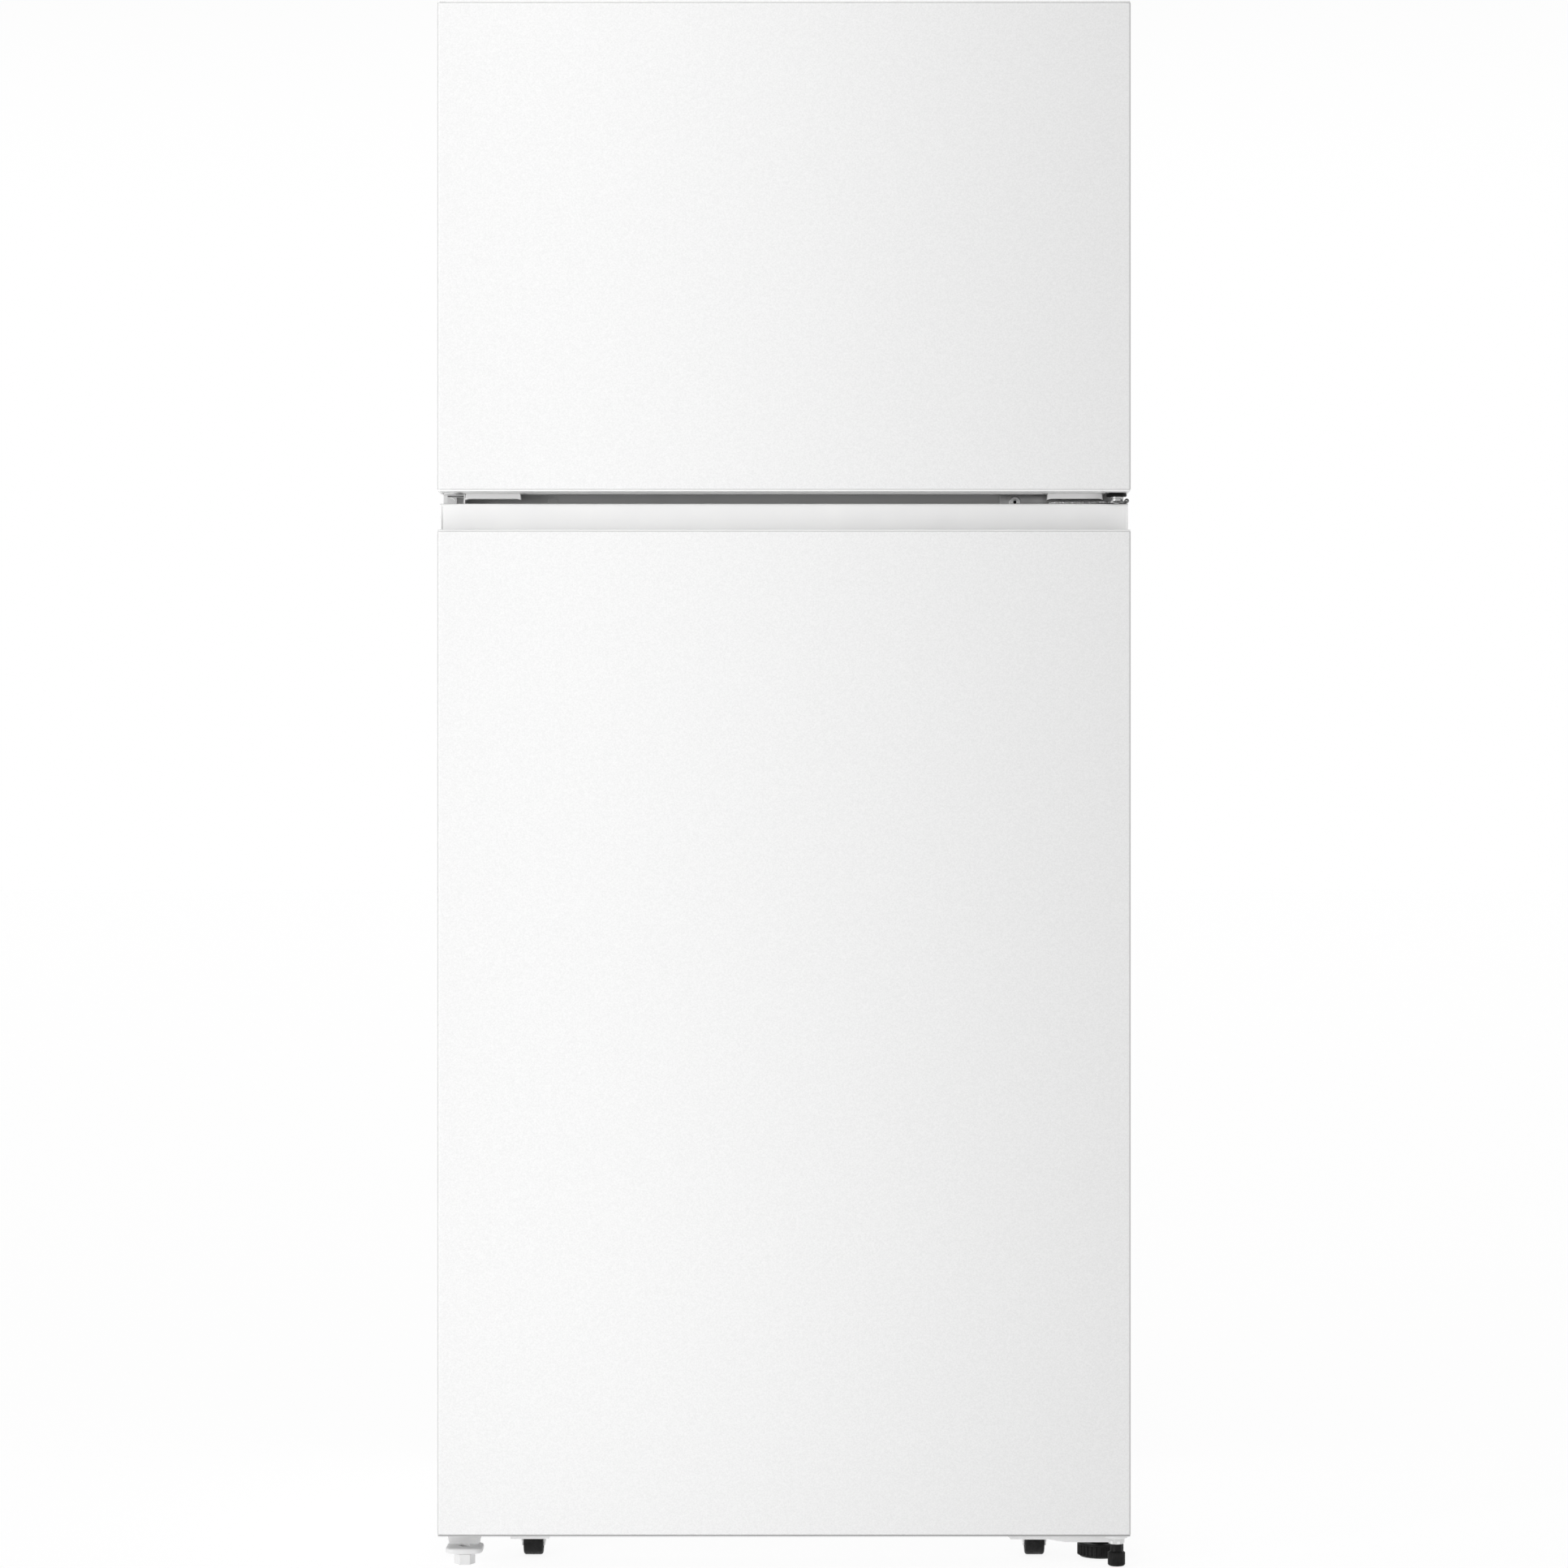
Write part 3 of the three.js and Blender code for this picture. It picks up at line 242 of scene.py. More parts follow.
METAL, CLEAR, GLOSS = "Metallic", "Transmission Weight", "Specular IOR Level"
FINISHES = {
    # (pattern, dark, light), (pattern, least and most roughness), (pattern, depth in mm, strength), constants
    "textured_steel": (((660, 3, 0.6), 0.745, 0.825), ((240, 2), 0.36, 0.5), ((660, 3, 0.6), 0.17, 0.8),
                       {GLOSS: 0.45}),
    "white_steel": (((300, 3), 0.825, 0.86), ((60, 3), 0.36, 0.42), ((900, 2), 0.05, 0.3), {}),
    "white_plastic": (((14, 4), 0.83, (0.87, 0.87, 0.865)), ((110, 3), 0.3, 0.42),
                      ((1400, 2), 0.03, 0.35), {}),
    "liner_plastic": (((7, 3), (0.84, 0.845, 0.85), (0.88, 0.885, 0.885)), ((40, 3), 0.42, 0.5),
                      ((90, 2), 0.06, 0.08), {}),
    "clear_plastic": (((12, 2), (0.95, 0.975, 0.985), (0.985, 0.99, 0.995)), ((90, 3), 0.04, 0.1),
                      ((70, 2), 0.1, 0.12), {CLEAR: 0.72, "IOR": 1.25}),
    "shelf_glass": (((5, 2), (0.82, 0.93, 0.9), (0.88, 0.96, 0.94)), ((30, 3), 0.02, 0.06), None,
                    {CLEAR: 0.95, "IOR": 1.52}),
    "gasket_rubber": (((30, 4), 0.5, 0.57), ((200, 3), 0.55, 0.72), ((900, 3), 0.06, 0.4), {}),
    "foam": (((60, 4), (0.7, 0.6, 0.36), (0.83, 0.75, 0.5)), ((90, 2), 0.85, 0.98), ((420,), 0.6, 0.7), {}),
    "bare_steel": (((90, 4, 0.6), 0.6, 0.68), ((120, 4), 0.3, 0.38), ((600, 2), 0.02, 0.2), {METAL: 0.92}),
    "black_plastic": (((130, 5, 0.65), 0.004, 0.014), ((300, 4), 0.38, 0.62), ((1500, 3), 0.05, 0.5),
                      {GLOSS: 0.15}),
    "black_steel": (((40, 4), 0.014, 0.03), ((80, 4), 0.3, 0.5), ((260, 3), 0.08, 0.3), {}),
    "aluminium_fin": (((80, 4), (0.66, 0.67, 0.68), (0.8, 0.81, 0.82)), ((200, 3), 0.3, 0.45),
                      ((500, 2), 0.05, 0.3), {METAL: 0.95}),
}
VARIANTS = {
    # Finishes that share a slot of the record, which is named first.
    # Painted shade: white paint darkened to grey for the shade in the gap between the doors, used on the mullion
    # rail, its hole plugs and the hinge seat blank
    "white_in_painted_shade": ("white_steel", ((12, 3), 0.5, 0.54), ((60, 3), 0.42, 0.55), ((900, 2), 0.04, 0.3), {}),
    "shaded_cap": ("white_plastic", ((14, 4), 0.4, 0.43), ((110, 3), 0.4, 0.5), ((1400, 2), 0.03, 0.35), {}),
    "nylon": ("white_plastic", ((50, 4), 0.66, 0.74), ((140, 3), 0.28, 0.44), ((420, 3), 0.05, 0.3), {}),
    "dull_steel": ("bare_steel", ((70, 4, 0.6), 0.36, 0.44), ((120, 4), 0.34, 0.46), ((600, 2), 0.02, 0.2),
                   {METAL: 0.9}),
    # Painted shade and painted glints: dark steel with bright spots in its colour, for the hinge leaf in the
    # shade under the stop block
    "steel_with_painted_glints": ("bare_steel", ((260, 4, 0.7), 0.02, 0.34), ((200, 3), 0.16, 0.4),
                    ((300, 4, 0.7), 0.5, 0.6), {METAL: 0.9}),
    "copper": ("aluminium_fin", ((60, 4), (0.62, 0.3, 0.16), (0.8, 0.44, 0.26)), ((90, 3), 0.25, 0.45),
               ((300, 2), 0.04, 0.3), {METAL: 0.95}),
    "lamp_lens": ("clear_plastic", ((20, 2), (0.9, 0.91, 0.9), (0.95, 0.95, 0.94)), ((120, 2), 0.3, 0.45),
                  ((500, 2), 0.05, 0.3), {CLEAR: 0.35, "IOR": 1.49}),
}


def make_materials():
    """Every finish, with a soft dent and painted shade along the folded side edges of the doors' textured paint.
    """
    made = {name: Finish(name, *values) for name, values in FINISHES.items()}
    made.update({name: Finish(name, *values[1:]) for name, values in VARIANTS.items()})
    made["textured_steel"].bump((6, 2), 0.15, 0.25)
    # Painted shade: the doors' rounded side edges darkened in colour, to 0.68 of the paint
    made["textured_steel"].paint_edge_shade(372.9, 374.4, FRONT + 3.2, 0.68)
    return {name: finish.material for name, finish in made.items()}


MATERIAL = make_materials()
SLOT_OF = {entry["node"]: entry["material_slot"] for entry in frame["record"]["subparts"]}


# ---- Pieces ----
def piece(name, shape, finish, edge, body="cabinet", instead_of=None):
    """A new object on a CAD body, from a mesh or a list of them. edge: bevel width, segments, least angle."""
    mesh = merged(shape) if isinstance(shape, list) else shape
    width, segments, angle = edge
    obj = placed(name, mesh)
    mesh.materials.clear()
    mesh.materials.append(MATERIAL[finish])
    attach(obj, body)
    if instead_of:
        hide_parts(instead_of)
    mesh.shade_smooth()
    mesh.set_sharp_from_angle(angle=math.radians(angle))
    bevel = obj.modifiers.new("edges", "BEVEL")
    bevel.width = width * MM
    bevel.segments = segments
    bevel.limit_method = "ANGLE"
    bevel.angle_limit = math.radians(angle)
    bevel.harden_normals = True
    bevel.use_clamp_overlap = True
    return obj


def refined(node, edge=(0.5, 3, 40), finish=None):
    """A copy of a CAD node with clean faces and rounded edges, in its place."""
    mesh = NODES[node].data.copy()
    shape = bmesh.new()
    shape.from_mesh(mesh)
    bmesh.ops.remove_doubles(shape, verts=shape.verts, dist=0.002 * MM)
    bmesh.ops.dissolve_limit(shape, angle_limit=math.radians(0.6), verts=shape.verts, edges=shape.edges)
    shape.to_mesh(mesh)
    shape.free()
    return piece(f"{node}_formed", mesh, finish or SLOT_OF[node], edge, NODES[node]["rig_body"], node)


def polar(u, v, radius, degrees):
    turn = math.radians(degrees)
    return (u + radius * math.cos(turn), v + radius * math.sin(turn))


def arc(u, v, radius, start, end, steps=8):
    """Points on an arc, from one angle in degrees to another."""
    return [polar(u, v, radius, start + (end - start) * i / steps) for i in range(steps + 1)]


def rounded_rect(u, v, radius, steps=6):
    (u0, u1), (v0, v1) = shrunk(u, radius), shrunk(v, radius)
    outline = []
    for i, corner in enumerate(((u1, v0), (u1, v1), (u0, v1), (u0, v0))):
        outline += arc(*corner, radius, 90 * i - 90, 90 * i, steps)
    return outline


def shrunk(span, inset):
    return (span[0] + inset, span[1] - inset)


def around(centre, half):
    return (centre - half, centre + half)


def on_side(side, near, far):
    """The span between two distances from the middle plane, on one side (-1 or 1)."""
    return sorted((side * near, side * far))


ALONG = {
    "x": lambda u, v, w: (w, u, v),
    "y": lambda u, v, w: (u, w, v),
    "z": lambda u, v, w: (u, v, w),
}


def skin(verts, faces):
    """A closed mesh with its faces turned outwards."""
    mesh = bpy.data.meshes.new("shape")
    mesh.from_pydata([Vector(vert) * MM for vert in verts], [], faces)
    shape = bmesh.new()
    shape.from_mesh(mesh)
    bmesh.ops.remove_doubles(shape, verts=shape.verts, dist=0.001 * MM)
    bmesh.ops.recalc_face_normals(shape, faces=shape.faces)
    shape.to_mesh(mesh)
    shape.free()
    return mesh


def sheet_skin(front, back, columns):
    """A thin closed sheet between two matching grids of points, in rows of columns + 1."""
    wide, layer = columns + 1, len(front)
    rows = layer // wide - 1
    faces = []
    for k in range(rows):
        for i in range(columns):
            a = k * wide + i
            faces.append((a, a + 1, a + 1 + wide, a + wide))
            faces.append((layer + a, layer + a + wide, layer + a + wide + 1, layer + a + 1))
    rim = list(range(columns)) + [columns + k * wide for k in range(rows)]
    rim += [rows * wide + i for i in range(columns, 0, -1)] + [k * wide for k in range(rows, 0, -1)]
    faces += [(b, a, layer + a, layer + b) for a, b in zip(rim, rim[1:] + rim[:1])]
    return skin(front + back, faces)


def lofted(loops, ring=False):
    """A skin over loops of equal length: capped at both ends, or joined end to end as a ring."""
    count = len(loops[0])
    verts = [point for loop in loops for point in loop]
    faces = []
    for k in range(len(loops) if ring else len(loops) - 1):
        a, b = k * count, (k + 1) % len(loops) * count
        faces += [(a + i, a + (i + 1) % count, b + (i + 1) % count, b + i) for i in range(count)]
    if not ring:
        faces += [tuple(range(count)), tuple(range(len(verts) - count, len(verts)))]
    return skin(verts, faces)


def prism(outline, axis, span):
    """An outline in the two other axes, drawn out along axis."""
    return lofted([[ALONG[axis](u, v, w) for u, v in outline] for w in span])


def block(x, y, z):
    return prism([(x[0], y[0]), (x[1], y[0]), (x[1], y[1]), (x[0], y[1])], "z", z)


def lathe(profile, centre, axis="z", steps=48):
    """A profile of (radius, distance along the axis) turned about that axis through centre."""
    circle = [polar(0, 0, 1, 360 * i / steps) for i in range(steps)]
    base = Vector(centre)
    return lofted([[base + Vector(ALONG[axis](r * u, r * v, w)) for u, v in circle] for r, w in profile])


def nested(steps, axis="z"):
    """Rounded rectangles (u, v, radius, place) stacked along axis into one closed skin."""
    return lofted([[ALONG[axis](u, v, w) for u, v in rounded_rect(a, b, r)] for a, b, r, w in steps])


def tapered(u, v, radius, steps, axis="z"):
    """One rounded rectangle stacked along axis, shrunk by the inset of each step (inset, place)."""
    return nested([(shrunk(u, i), shrunk(v, i), max(radius - i, 2), place) for i, place in steps], axis)


def tube(path, radius, sides=12):
    """A round tube along a list of points."""
    points = [Vector(p) for p in path]
    circle = [polar(0, 0, radius, 360 * k / sides) for k in range(sides)]
    side = (points[1] - points[0]).orthogonal()
    loops = []
    for i, point in enumerate(points):
        ahead = (points[min(i + 1, len(points) - 1)] - points[max(i - 1, 0)]).normalized()
        side = (side - ahead * side.dot(ahead)).normalized()
        up = ahead.cross(side)
        loops.append([point + u * side + v * up for u, v in circle])
    return lofted(loops)


def serpentine(x, y, levels, radius):
    """A tube that runs to and fro between the ends of x, one level above another, with round bends."""
    path = []
    for k, z in enumerate(levels):
        start, end = x if k % 2 == 0 else x[::-1]
        path += [(start, y, z), (end, y, z)]
        if z != levels[-1]:
            bend = (levels[k + 1] - z) / 2
            out = bend if end > start else -bend
            for degrees in (-67, -45, -22, 0, 22, 45, 67):
                u, v = polar(0, 0, 1, degrees)
                path.append((end + out * u, y, z + bend + bend * v))
    return tube(path, radius)


def merged(meshes):
    shape = bmesh.new()
    for mesh in meshes:
        shape.from_mesh(mesh)
    joined = bpy.data.meshes.new("shape")
    shape.to_mesh(joined)
    shape.free()
    return joined


def moved(mesh, place, degrees=0, axis="Z"):
    """The mesh, turned about axis through the origin and then shifted to place."""
    mesh.transform(Matrix.Translation(Vector(place) * MM) @ Matrix.Rotation(math.radians(degrees), 4, axis))
    return mesh


def rounded_edges(mesh, width, segments=3, angle=40):
    """Rounds the mesh's sharp edges in place, for a cutter or a piece that is cut afterwards."""
    shape = bmesh.new()
    shape.from_mesh(mesh)
    sharp = [e for e in shape.edges if len(e.link_faces) == 2 and e.calc_face_angle() > math.radians(angle)]
    settings = {"segments": segments, "profile": 0.5, "affect": "EDGES", "clamp_overlap": True}
    bmesh.ops.bevel(shape, geom=sharp, offset=width * MM, **settings)
    shape.to_mesh(mesh)
    shape.free()
    return mesh


def carved(mesh, cutters):
    """The mesh with every cutter taken away."""
    body = placed("carve_body", mesh)
    tool = placed("carve_tool", merged(cutters))
    change = body.modifiers.new("cut", "BOOLEAN")
    change.operation = "DIFFERENCE"
    change.solver = "EXACT"
    change.use_self = True
    change.object = tool
    graph = bpy.context.evaluated_depsgraph_get()
    result = bpy.data.meshes.new_from_object(body.evaluated_get(graph))
    bpy.data.objects.remove(body)
    bpy.data.objects.remove(tool)
    return result


def fluted(centre, axis, span, count, radius, groove, land, close=0.9):
    """A cylinder with grooves round it, each from the share land of its pitch to the share close."""
    outline = []
    for i in range(count):
        for share, cut in ((0, 0), (land, 0), (land + 0.12, groove), (close, groove)):
            outline.append(polar(*centre, radius - cut, 360 * (i + share) / count))
    return prism(outline, axis, span)


# ---- Doors ----
SHEET = 1
EDGE_RADIUS = 2.6
LIP = 2
GRIP_DEPTH = 34  # the grip's back wall, behind the door's front
GROOVE_FRONT = 9.5
GROOVE_DEEP = 26
PLUG_Y = (FRONT + 2.2, FRONT + 58.4)
LINER_FACE = DOOR_BACK + 2.3
BIN_HEIGHT = {
    "freezer_bin_lower": 90,
    "freezer_bin_upper": 75,
    "fridge_bin_lower": 110,
    "fridge_bin_middle": 85,
    "fridge_bin_upper": 85,
    "dairy_bin": 78,
}


def door_panel(node):
    """Folded steel skin: a flat front with rounded vertical edges and a return at the back."""
    low, high = box(node)
    flange, r = 9, EDGE_RADIUS
    x0, x1, y0, y1 = low.x, high.x, low.y, high.y
    outline = [(x0 + flange, y1), (x0, y1)]
    outline += arc(x0 + r, y0 + r, r, 180, 270, 10) + arc(x1 - r, y0 + r, r, 270, 360, 10)
    outline += [(x1, y1), (x1 - flange, y1), (x1 - flange, y1 - SHEET), (x1 - SHEET, y1 - SHEET)]
    outline += arc(x1 - r, y0 + r, r - SHEET, 360, 270, 10) + arc(x0 + r, y0 + r, r - SHEET, 270, 180, 10)
    outline += [(x0 + SHEET, y1 - SHEET), (x0 + flange, y1 - SHEET)]
    return prism(outline, "z", (low.z, high.z))


def add_door_panels():
    low, high = box("freezer_door_skin")
    hinge_pocket = block((345, 380), (low.y + 14, high.y + 1), (high.z - 11.5, high.z + 1))
    panels = {
        "freezer_door": carved(door_panel("freezer_door_skin"), [hinge_pocket]),
        "fridge_door": door_panel("fridge_door_skin"),
    }
    for body, mesh in panels.items():
        piece(f"{body}_panel", mesh, "textured_steel", (0.45, 3, 50), body, f"{body}_skin")


def add_handle():
    """Grip along the lower door's top edge: lip, finger groove and a hollowed back wall."""
    low, high = box("fridge_door_handle_cap")
    skin_top = box("fridge_door_skin")[1].z
    half, back, top = high
    lip, seam = skin_top + LIP, skin_top + 0.3
    radius = (GRIP_DEPTH - GROOVE_FRONT) / 2
    bottom = skin_top - GROOVE_DEEP + radius
    wall_y = FRONT + GRIP_DEPTH
    crown, hollow = 2.5, 1.1
    rise = top - crown - bottom
    outline = [(low.y, seam)] + arc(low.y + 1.2, lip - 1.2, 1.2, 180, 90, 6)
    outline += arc(FRONT + GROOVE_FRONT - 1.5, lip - 1.5, 1.5, 90, 0, 6)
    outline += arc(FRONT + GROOVE_FRONT + radius, bottom, radius, 180, 360, 18)
    outline += [(wall_y + hollow * math.sin(math.pi * i / 16), bottom + rise * i / 16) for i in range(1, 17)]
    outline += arc(wall_y + crown, top - crown, crown, 180, 90, 6) + [(back, top), (back, seam)]
    outline += [(PLUG_Y[1], seam), (PLUG_Y[1], low.z), (PLUG_Y[0], low.z), (PLUG_Y[0], seam)]
    whole = prism(outline, "x", (-half, half))
    across, below = (low.y - 1, back + 1), (low.z - 1, seam - 0.01)
    sides = [block(on_side(s, half - 1.2, half + 1), across, below) for s in SIDES]
    grip = carved(whole, sides)
    piece("fridge_door_grip", grip, "white_plastic", (0.3, 2, 50), "fridge_door", "fridge_door_handle_cap")
    proud = wall_y - 0.25
    bar = [(wall_y + 4.5, bottom - 4), (proud, bottom - 4)] + arc(proud + 3, top - 3, 3, 180, 90, 6)
    bar.append((wall_y + 4.5, top))
    ends = [prism(bar, "x", on_side(s, half - 2.2, half)) for s in SIDES]
    ends += [block(on_side(s, half - 4, half - 1.4), PLUG_Y, (low.z, skin_top)) for s in SIDES]
    piece("fridge_door_grip_ends", ends, "white_plastic", (0.5, 3, 35), "fridge_door")


def add_freezer_door_base():
    """Bottom cap with a finger groove, a fine step along its front and a stop block at each end."""
    node = "freezer_door_bottom_cap"
    low, high = box(node)
    edge = box("freezer_door_skin")[0].z
    plug = block((-373.4, 373.4), PLUG_Y, (edge - 1, high.z))
    rim = rounded_rect((low.x, high.x), (low.y, DOOR_BACK), EDGE_RADIUS)
    whole = merged([plug, prism(rim, "z", (edge - LIP, edge - 0.3))])
    groove = prism(rounded_rect((-283, 283), (FRONT + 26, FRONT + 50), 8), "z", (edge - 4, edge + 17))
    step = block((-366, 366), (FRONT + 12, FRONT + 14.5), (edge - 4, edge - 1.2))
    hinge_hole = lathe([(4.6, -5), (4.6, 22)], (*HINGE, edge), steps=32)
    corner_y, corner_z = (FRONT + 24, FRONT + 61), (edge - 4, edge + 6)
    corners = [block(on_side(s, 350, 372), corner_y, corner_z) for s in SIDES]
    base = carved(whole, [rounded_edges(groove, 2.5), step, hinge_hole] + corners)
    piece("freezer_door_base", base, "white_plastic", (0.3, 2, 50), "freezer_door", node)
    stops = []
    for s in SIDES:
        x0, x1 = on_side(s, 287, 348)
        outline = [(x0 + 1, edge - 1), (x0, edge - 8.8), (x0 + 4, edge - 7.6)]
        outline += [(x1 - 4, edge - 7.6), (x1, edge - 8.8), (x1 - 1, edge - 1)]
        stops.append(prism(outline, "y", (FRONT + 43, FRONT + 60)))
    piece("freezer_door_stops", stops, "white_plastic", (0.7, 3, 25), "freezer_door")


def add_door_liner(body, dike_z):
    """Vacuum-formed inner panel: a flat border, a raised frame with rounded edges, a sunk middle."""
    node = f"{body}_liner"
    low, high = box(node)
    face = LINER_FACE
    border_x, border_z = (low.x, high.x), (low.z, high.z)
    sheet = [(border_x, border_z, 6, low.y), (border_x, border_z, 6, face - 0.5)]
    sheet.append((shrunk(border_x, 0.5), shrunk(border_z, 0.5), 5.5, face))
    crest = 32
    profile = [(-3, 0), (-0.9, 0.7), (0, 3), (1.5, 28), (2.6, 30.8), (5.5, crest), (16.5, crest), (19.4, 30.8),
               (20.5, 28), (22, 3), (23, 0.7), (25, 0), (46, 0), (47.6, -0.4), (48.6, -1.2)]
    for inset, rise in profile:
        place = high.y if rise == crest else face + rise
        sheet.append((shrunk((-310, 310), inset), shrunk(dike_z, inset), max(17 - 0.5 * inset, 6), place))
    piece(f"{node}_panel", nested(sheet, "y"), "liner_plastic", (0.3, 2, 60), body, node)
    ledges = []
    for name in BIN_HEIGHT:
        if NODES[name]["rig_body"] == body:
            under = box(name)[0].z
            y, z = (face - 0.5, face + 22), (under - 7, under - 0.6)
            ledges += [block(on_side(s, 275.5, 288.5), y, z) for s in SIDES]
    piece(f"{body}_bin_ledges", ledges, "liner_plastic", (1.6, 3, 40), body)


def add_gasket(body):
    """Bellows and magnet tube, mitred at the corners."""
    node = f"{body}_gasket"
    low, high = box(node)
    deep = high.y - low.y
    section = [(4, 0), (4, 2), (1.6, 4), (3.6, 6), (1.4, 8), (0, 9.4), (0, deep - 0.6), (0.7, deep),
               (12.6, deep), (13.6, deep - 0.9), (13.6, 9.2), (16.8, 6.6), (19, 3.4), (18.4, 1.8),
               (15, 1.6), (14.6, 0)]
    loops = []
    for inset, rise in section:
        x, z = shrunk((low.x, high.x), inset), shrunk((low.z, high.z), inset)
        loops.append([(u, low.y + rise, v) for u, v in rounded_rect(x, z, max(5 - inset, 0.8), 4)])
    piece(f"{node}_seal", lofted(loops, ring=True), "gasket_rubber", (0.35, 2, 35), body, node)


def tub(x, y, z, corner, count, half, rise):
    """A thin tub, from its outside over the rim to its floor, with ribs of half width across the floor."""
    wall = 2.5
    floor = z[0] + wall
    steps = [(5, z[0]), (2.6, z[0] + 0.7), (1.6, z[0] + 2.6), (1.2, z[1] - 9), (0, z[1] - 8), (0, z[1] - 0.8),
             (0.8, z[1]), (wall - 0.5, z[1]), (wall + 0.1, z[1] - 0.7), (wall + 1.4, floor + 5),
             (wall + 2.4, floor + 1.5), (wall + 5.5, floor)]
    parts = [tapered(x, y, corner, steps)]
    for i in range(count):
        middle = x[0] + (x[1] - x[0]) * (i + 1) / (count + 1)
        rib = rounded_rect(around(middle, half), shrunk(y, corner), half - 0.1, 3)
        parts.append(prism(rib, "z", (floor - 0.3, floor + rise)))
    return merged(parts)


def add_bin(node):
    """Clear door bin with a rolled rim, floor ribs and a white rail along its front edge."""
    low, high = box(node)
    body = NODES[node]["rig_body"]
    x, y, z = (low.x, high.x), high.y, low.z + BIN_HEIGHT[node]
    shell = tub(x, (low.y, y), (low.z, z), 12, 11, 1.2, 1.2)
    piece(f"{node}_tub", shell, "clear_plastic", (0.25, 2, 50), body, node)
    if node == "dairy_bin":
        return
    rail = [(y - 3.7, z - 4), (y - 3.7, z + 0.4)] + arc(y - 0.4, z - 0.8, 1.4, 90, 0, 5)
    rail += [(y + 1, z - 15), (y + 0.2, z - 15.6), (y - 0.2, z - 15.6)]
    rail += [(y - 0.2, z - 0.7), (y - 2.5, z - 0.7), (y - 2.5, z - 4)]
    piece(f"{node}_rail", prism(rail, "x", shrunk(x, 15)), "white_plastic", (0.2, 2, 45), body)


def add_dairy_ears():
    """Two ears that carry the flap's stub pins."""
    low, high = box("dairy_bin")
    y, z = low.y + 7.5, high.z - 7
    outline = [(low.y, z - 27), (low.y + 15.5, z - 27)] + arc(y, z, 8, 0, 150, 10) + [(low.y, z + 4)]
    ears = []
    for s in SIDES:
        hole = lathe([(3.3, -6), (3.3, 6)], (s * (high.x - 2), y, z), "x", 24)
        ears.append(carved(prism(outline, "x", on_side(s, high.x - 4, high.x)), [hole]))
    piece("dairy_bin_ears", ears, "clear_plastic", (0.3, 2, 40), "fridge_door")


def add_doors():
    add_door_panels()
    add_handle()
    for body, dike_z in (("freezer_door", (1214, 1624)), ("fridge_door", (112, 1120))):
        add_door_liner(body, dike_z)
    for body in ("freezer_door", "fridge_door"):
        add_gasket(body)
    for node in BIN_HEIGHT:
        add_bin(node)
    add_dairy_ears()
    add_freezer_door_base()
    refined("freezer_door_top_cap", (0.5, 3, 30))
    refined("fridge_door_bottom_cap", (0.5, 3, 30), "shaded_cap")


# ---- Shelves and drawers ----
def add_shelf(node):
    """A glass pane in a white frame with a rounded nose and a stop at the back."""
    low, high = box(node)
    seat = low.z + 4
    half, y0, y1 = high.x, low.y + 6, high.y
    pane = prism(rounded_rect(around(0, half - 3), (y0 + 3, y1 - 2), 4, 4), "z", (seat + 1.5, seat + 5))
    piece(f"{node}_pane", pane, "shelf_glass", (0.6, 2, 50), instead_of=node)
    nose = arc(y0 + 1, seat + 3, 7, 270, 90, 12) + [(y0 + 12, seat + 10)]
    nose += arc(y0 + 10.5, seat + 7, 1.5, 0, -90, 3)
    nose += [(y0 + 6, seat + 5.3), (y0 + 6, seat + 1.2), (y0 + 11, seat + 1.2), (y0 + 12, seat - 0.5)]
    nose.append((y0 + 8, seat - 4))
    stop = [(y1 - 7, seat), (y1, seat)] + arc(y1 - 2, seat + 14, 2, 0, 90, 4)
    stop += arc(y1 - 4, seat + 14, 2, 90, 180, 4)
    stop += [(y1 - 6, seat + 5.6), (y1 - 9, seat + 5.6), (y1 - 9, seat + 5)]
    channel = [(0, 0), (11, 0), (11, 1.4), (2.4, 1.4), (2.4, 5.1), (9, 5.1), (9.6, 5.7), (9, 6.3), (0, 6.3)]
    parts = [prism(nose, "x", around(0, half - 10)), prism(stop, "x", (-half, half))]
    for s in SIDES:
        outline = [(s * (half - u), seat + v) for u, v in channel]
        parts.append(prism(outline, "y", (y0 + 2, y1 - 1)))
    piece(f"{node}_frame", parts, "white_plastic", (0.4, 2, 40))


def add_crisper(node):
    """Clear drawer with a rolled rim, ribs across the floor and a white pull."""
    low, high = box(node)
    x, front, top = (low.x, high.x), low.y + 12, high.z - 8
    drawer = tub(x, (front, high.y), (low.z, high.z), 16, 7, 1.3, 1.4)
    piece(f"{node}_drawer", drawer, "clear_plastic", (0.3, 2, 50), node, node)
    pull = [(front + 1.4, top), (front - 7, top)] + arc(front - 7, top - 5, 5, 90, 180)
    pull += [(front - 12, top - 24)] + arc(front - 11, top - 24, 1, 180, 360, 6)
    pull += arc(front - 6.5, top - 7.5, 3.5, 180, 90, 6) + [(front + 1.4, top - 4)]
    piece(f"{node}_pull", prism(pull, "x", shrunk(x, 18)), "white_plastic", (0.5, 3, 40), node)


def add_storage():
    for node in ("freezer_shelf", "glass_shelf_upper", "glass_shelf_lower", "crisper_cover"):
        add_shelf(node)
    for side in ("left", "right"):
        add_crisper(f"crisper_{side}")


# ---- Cabinet ----
CAVITY_X = (-325, 325)
CAVITY_BACK = 312
HUMP_Y, HUMP_Z = 112, 330
LEDGES = {"freezer_shelf": 230, "glass_shelf_upper": 300, "glass_shelf_lower": 300, "crisper_cover": 300}


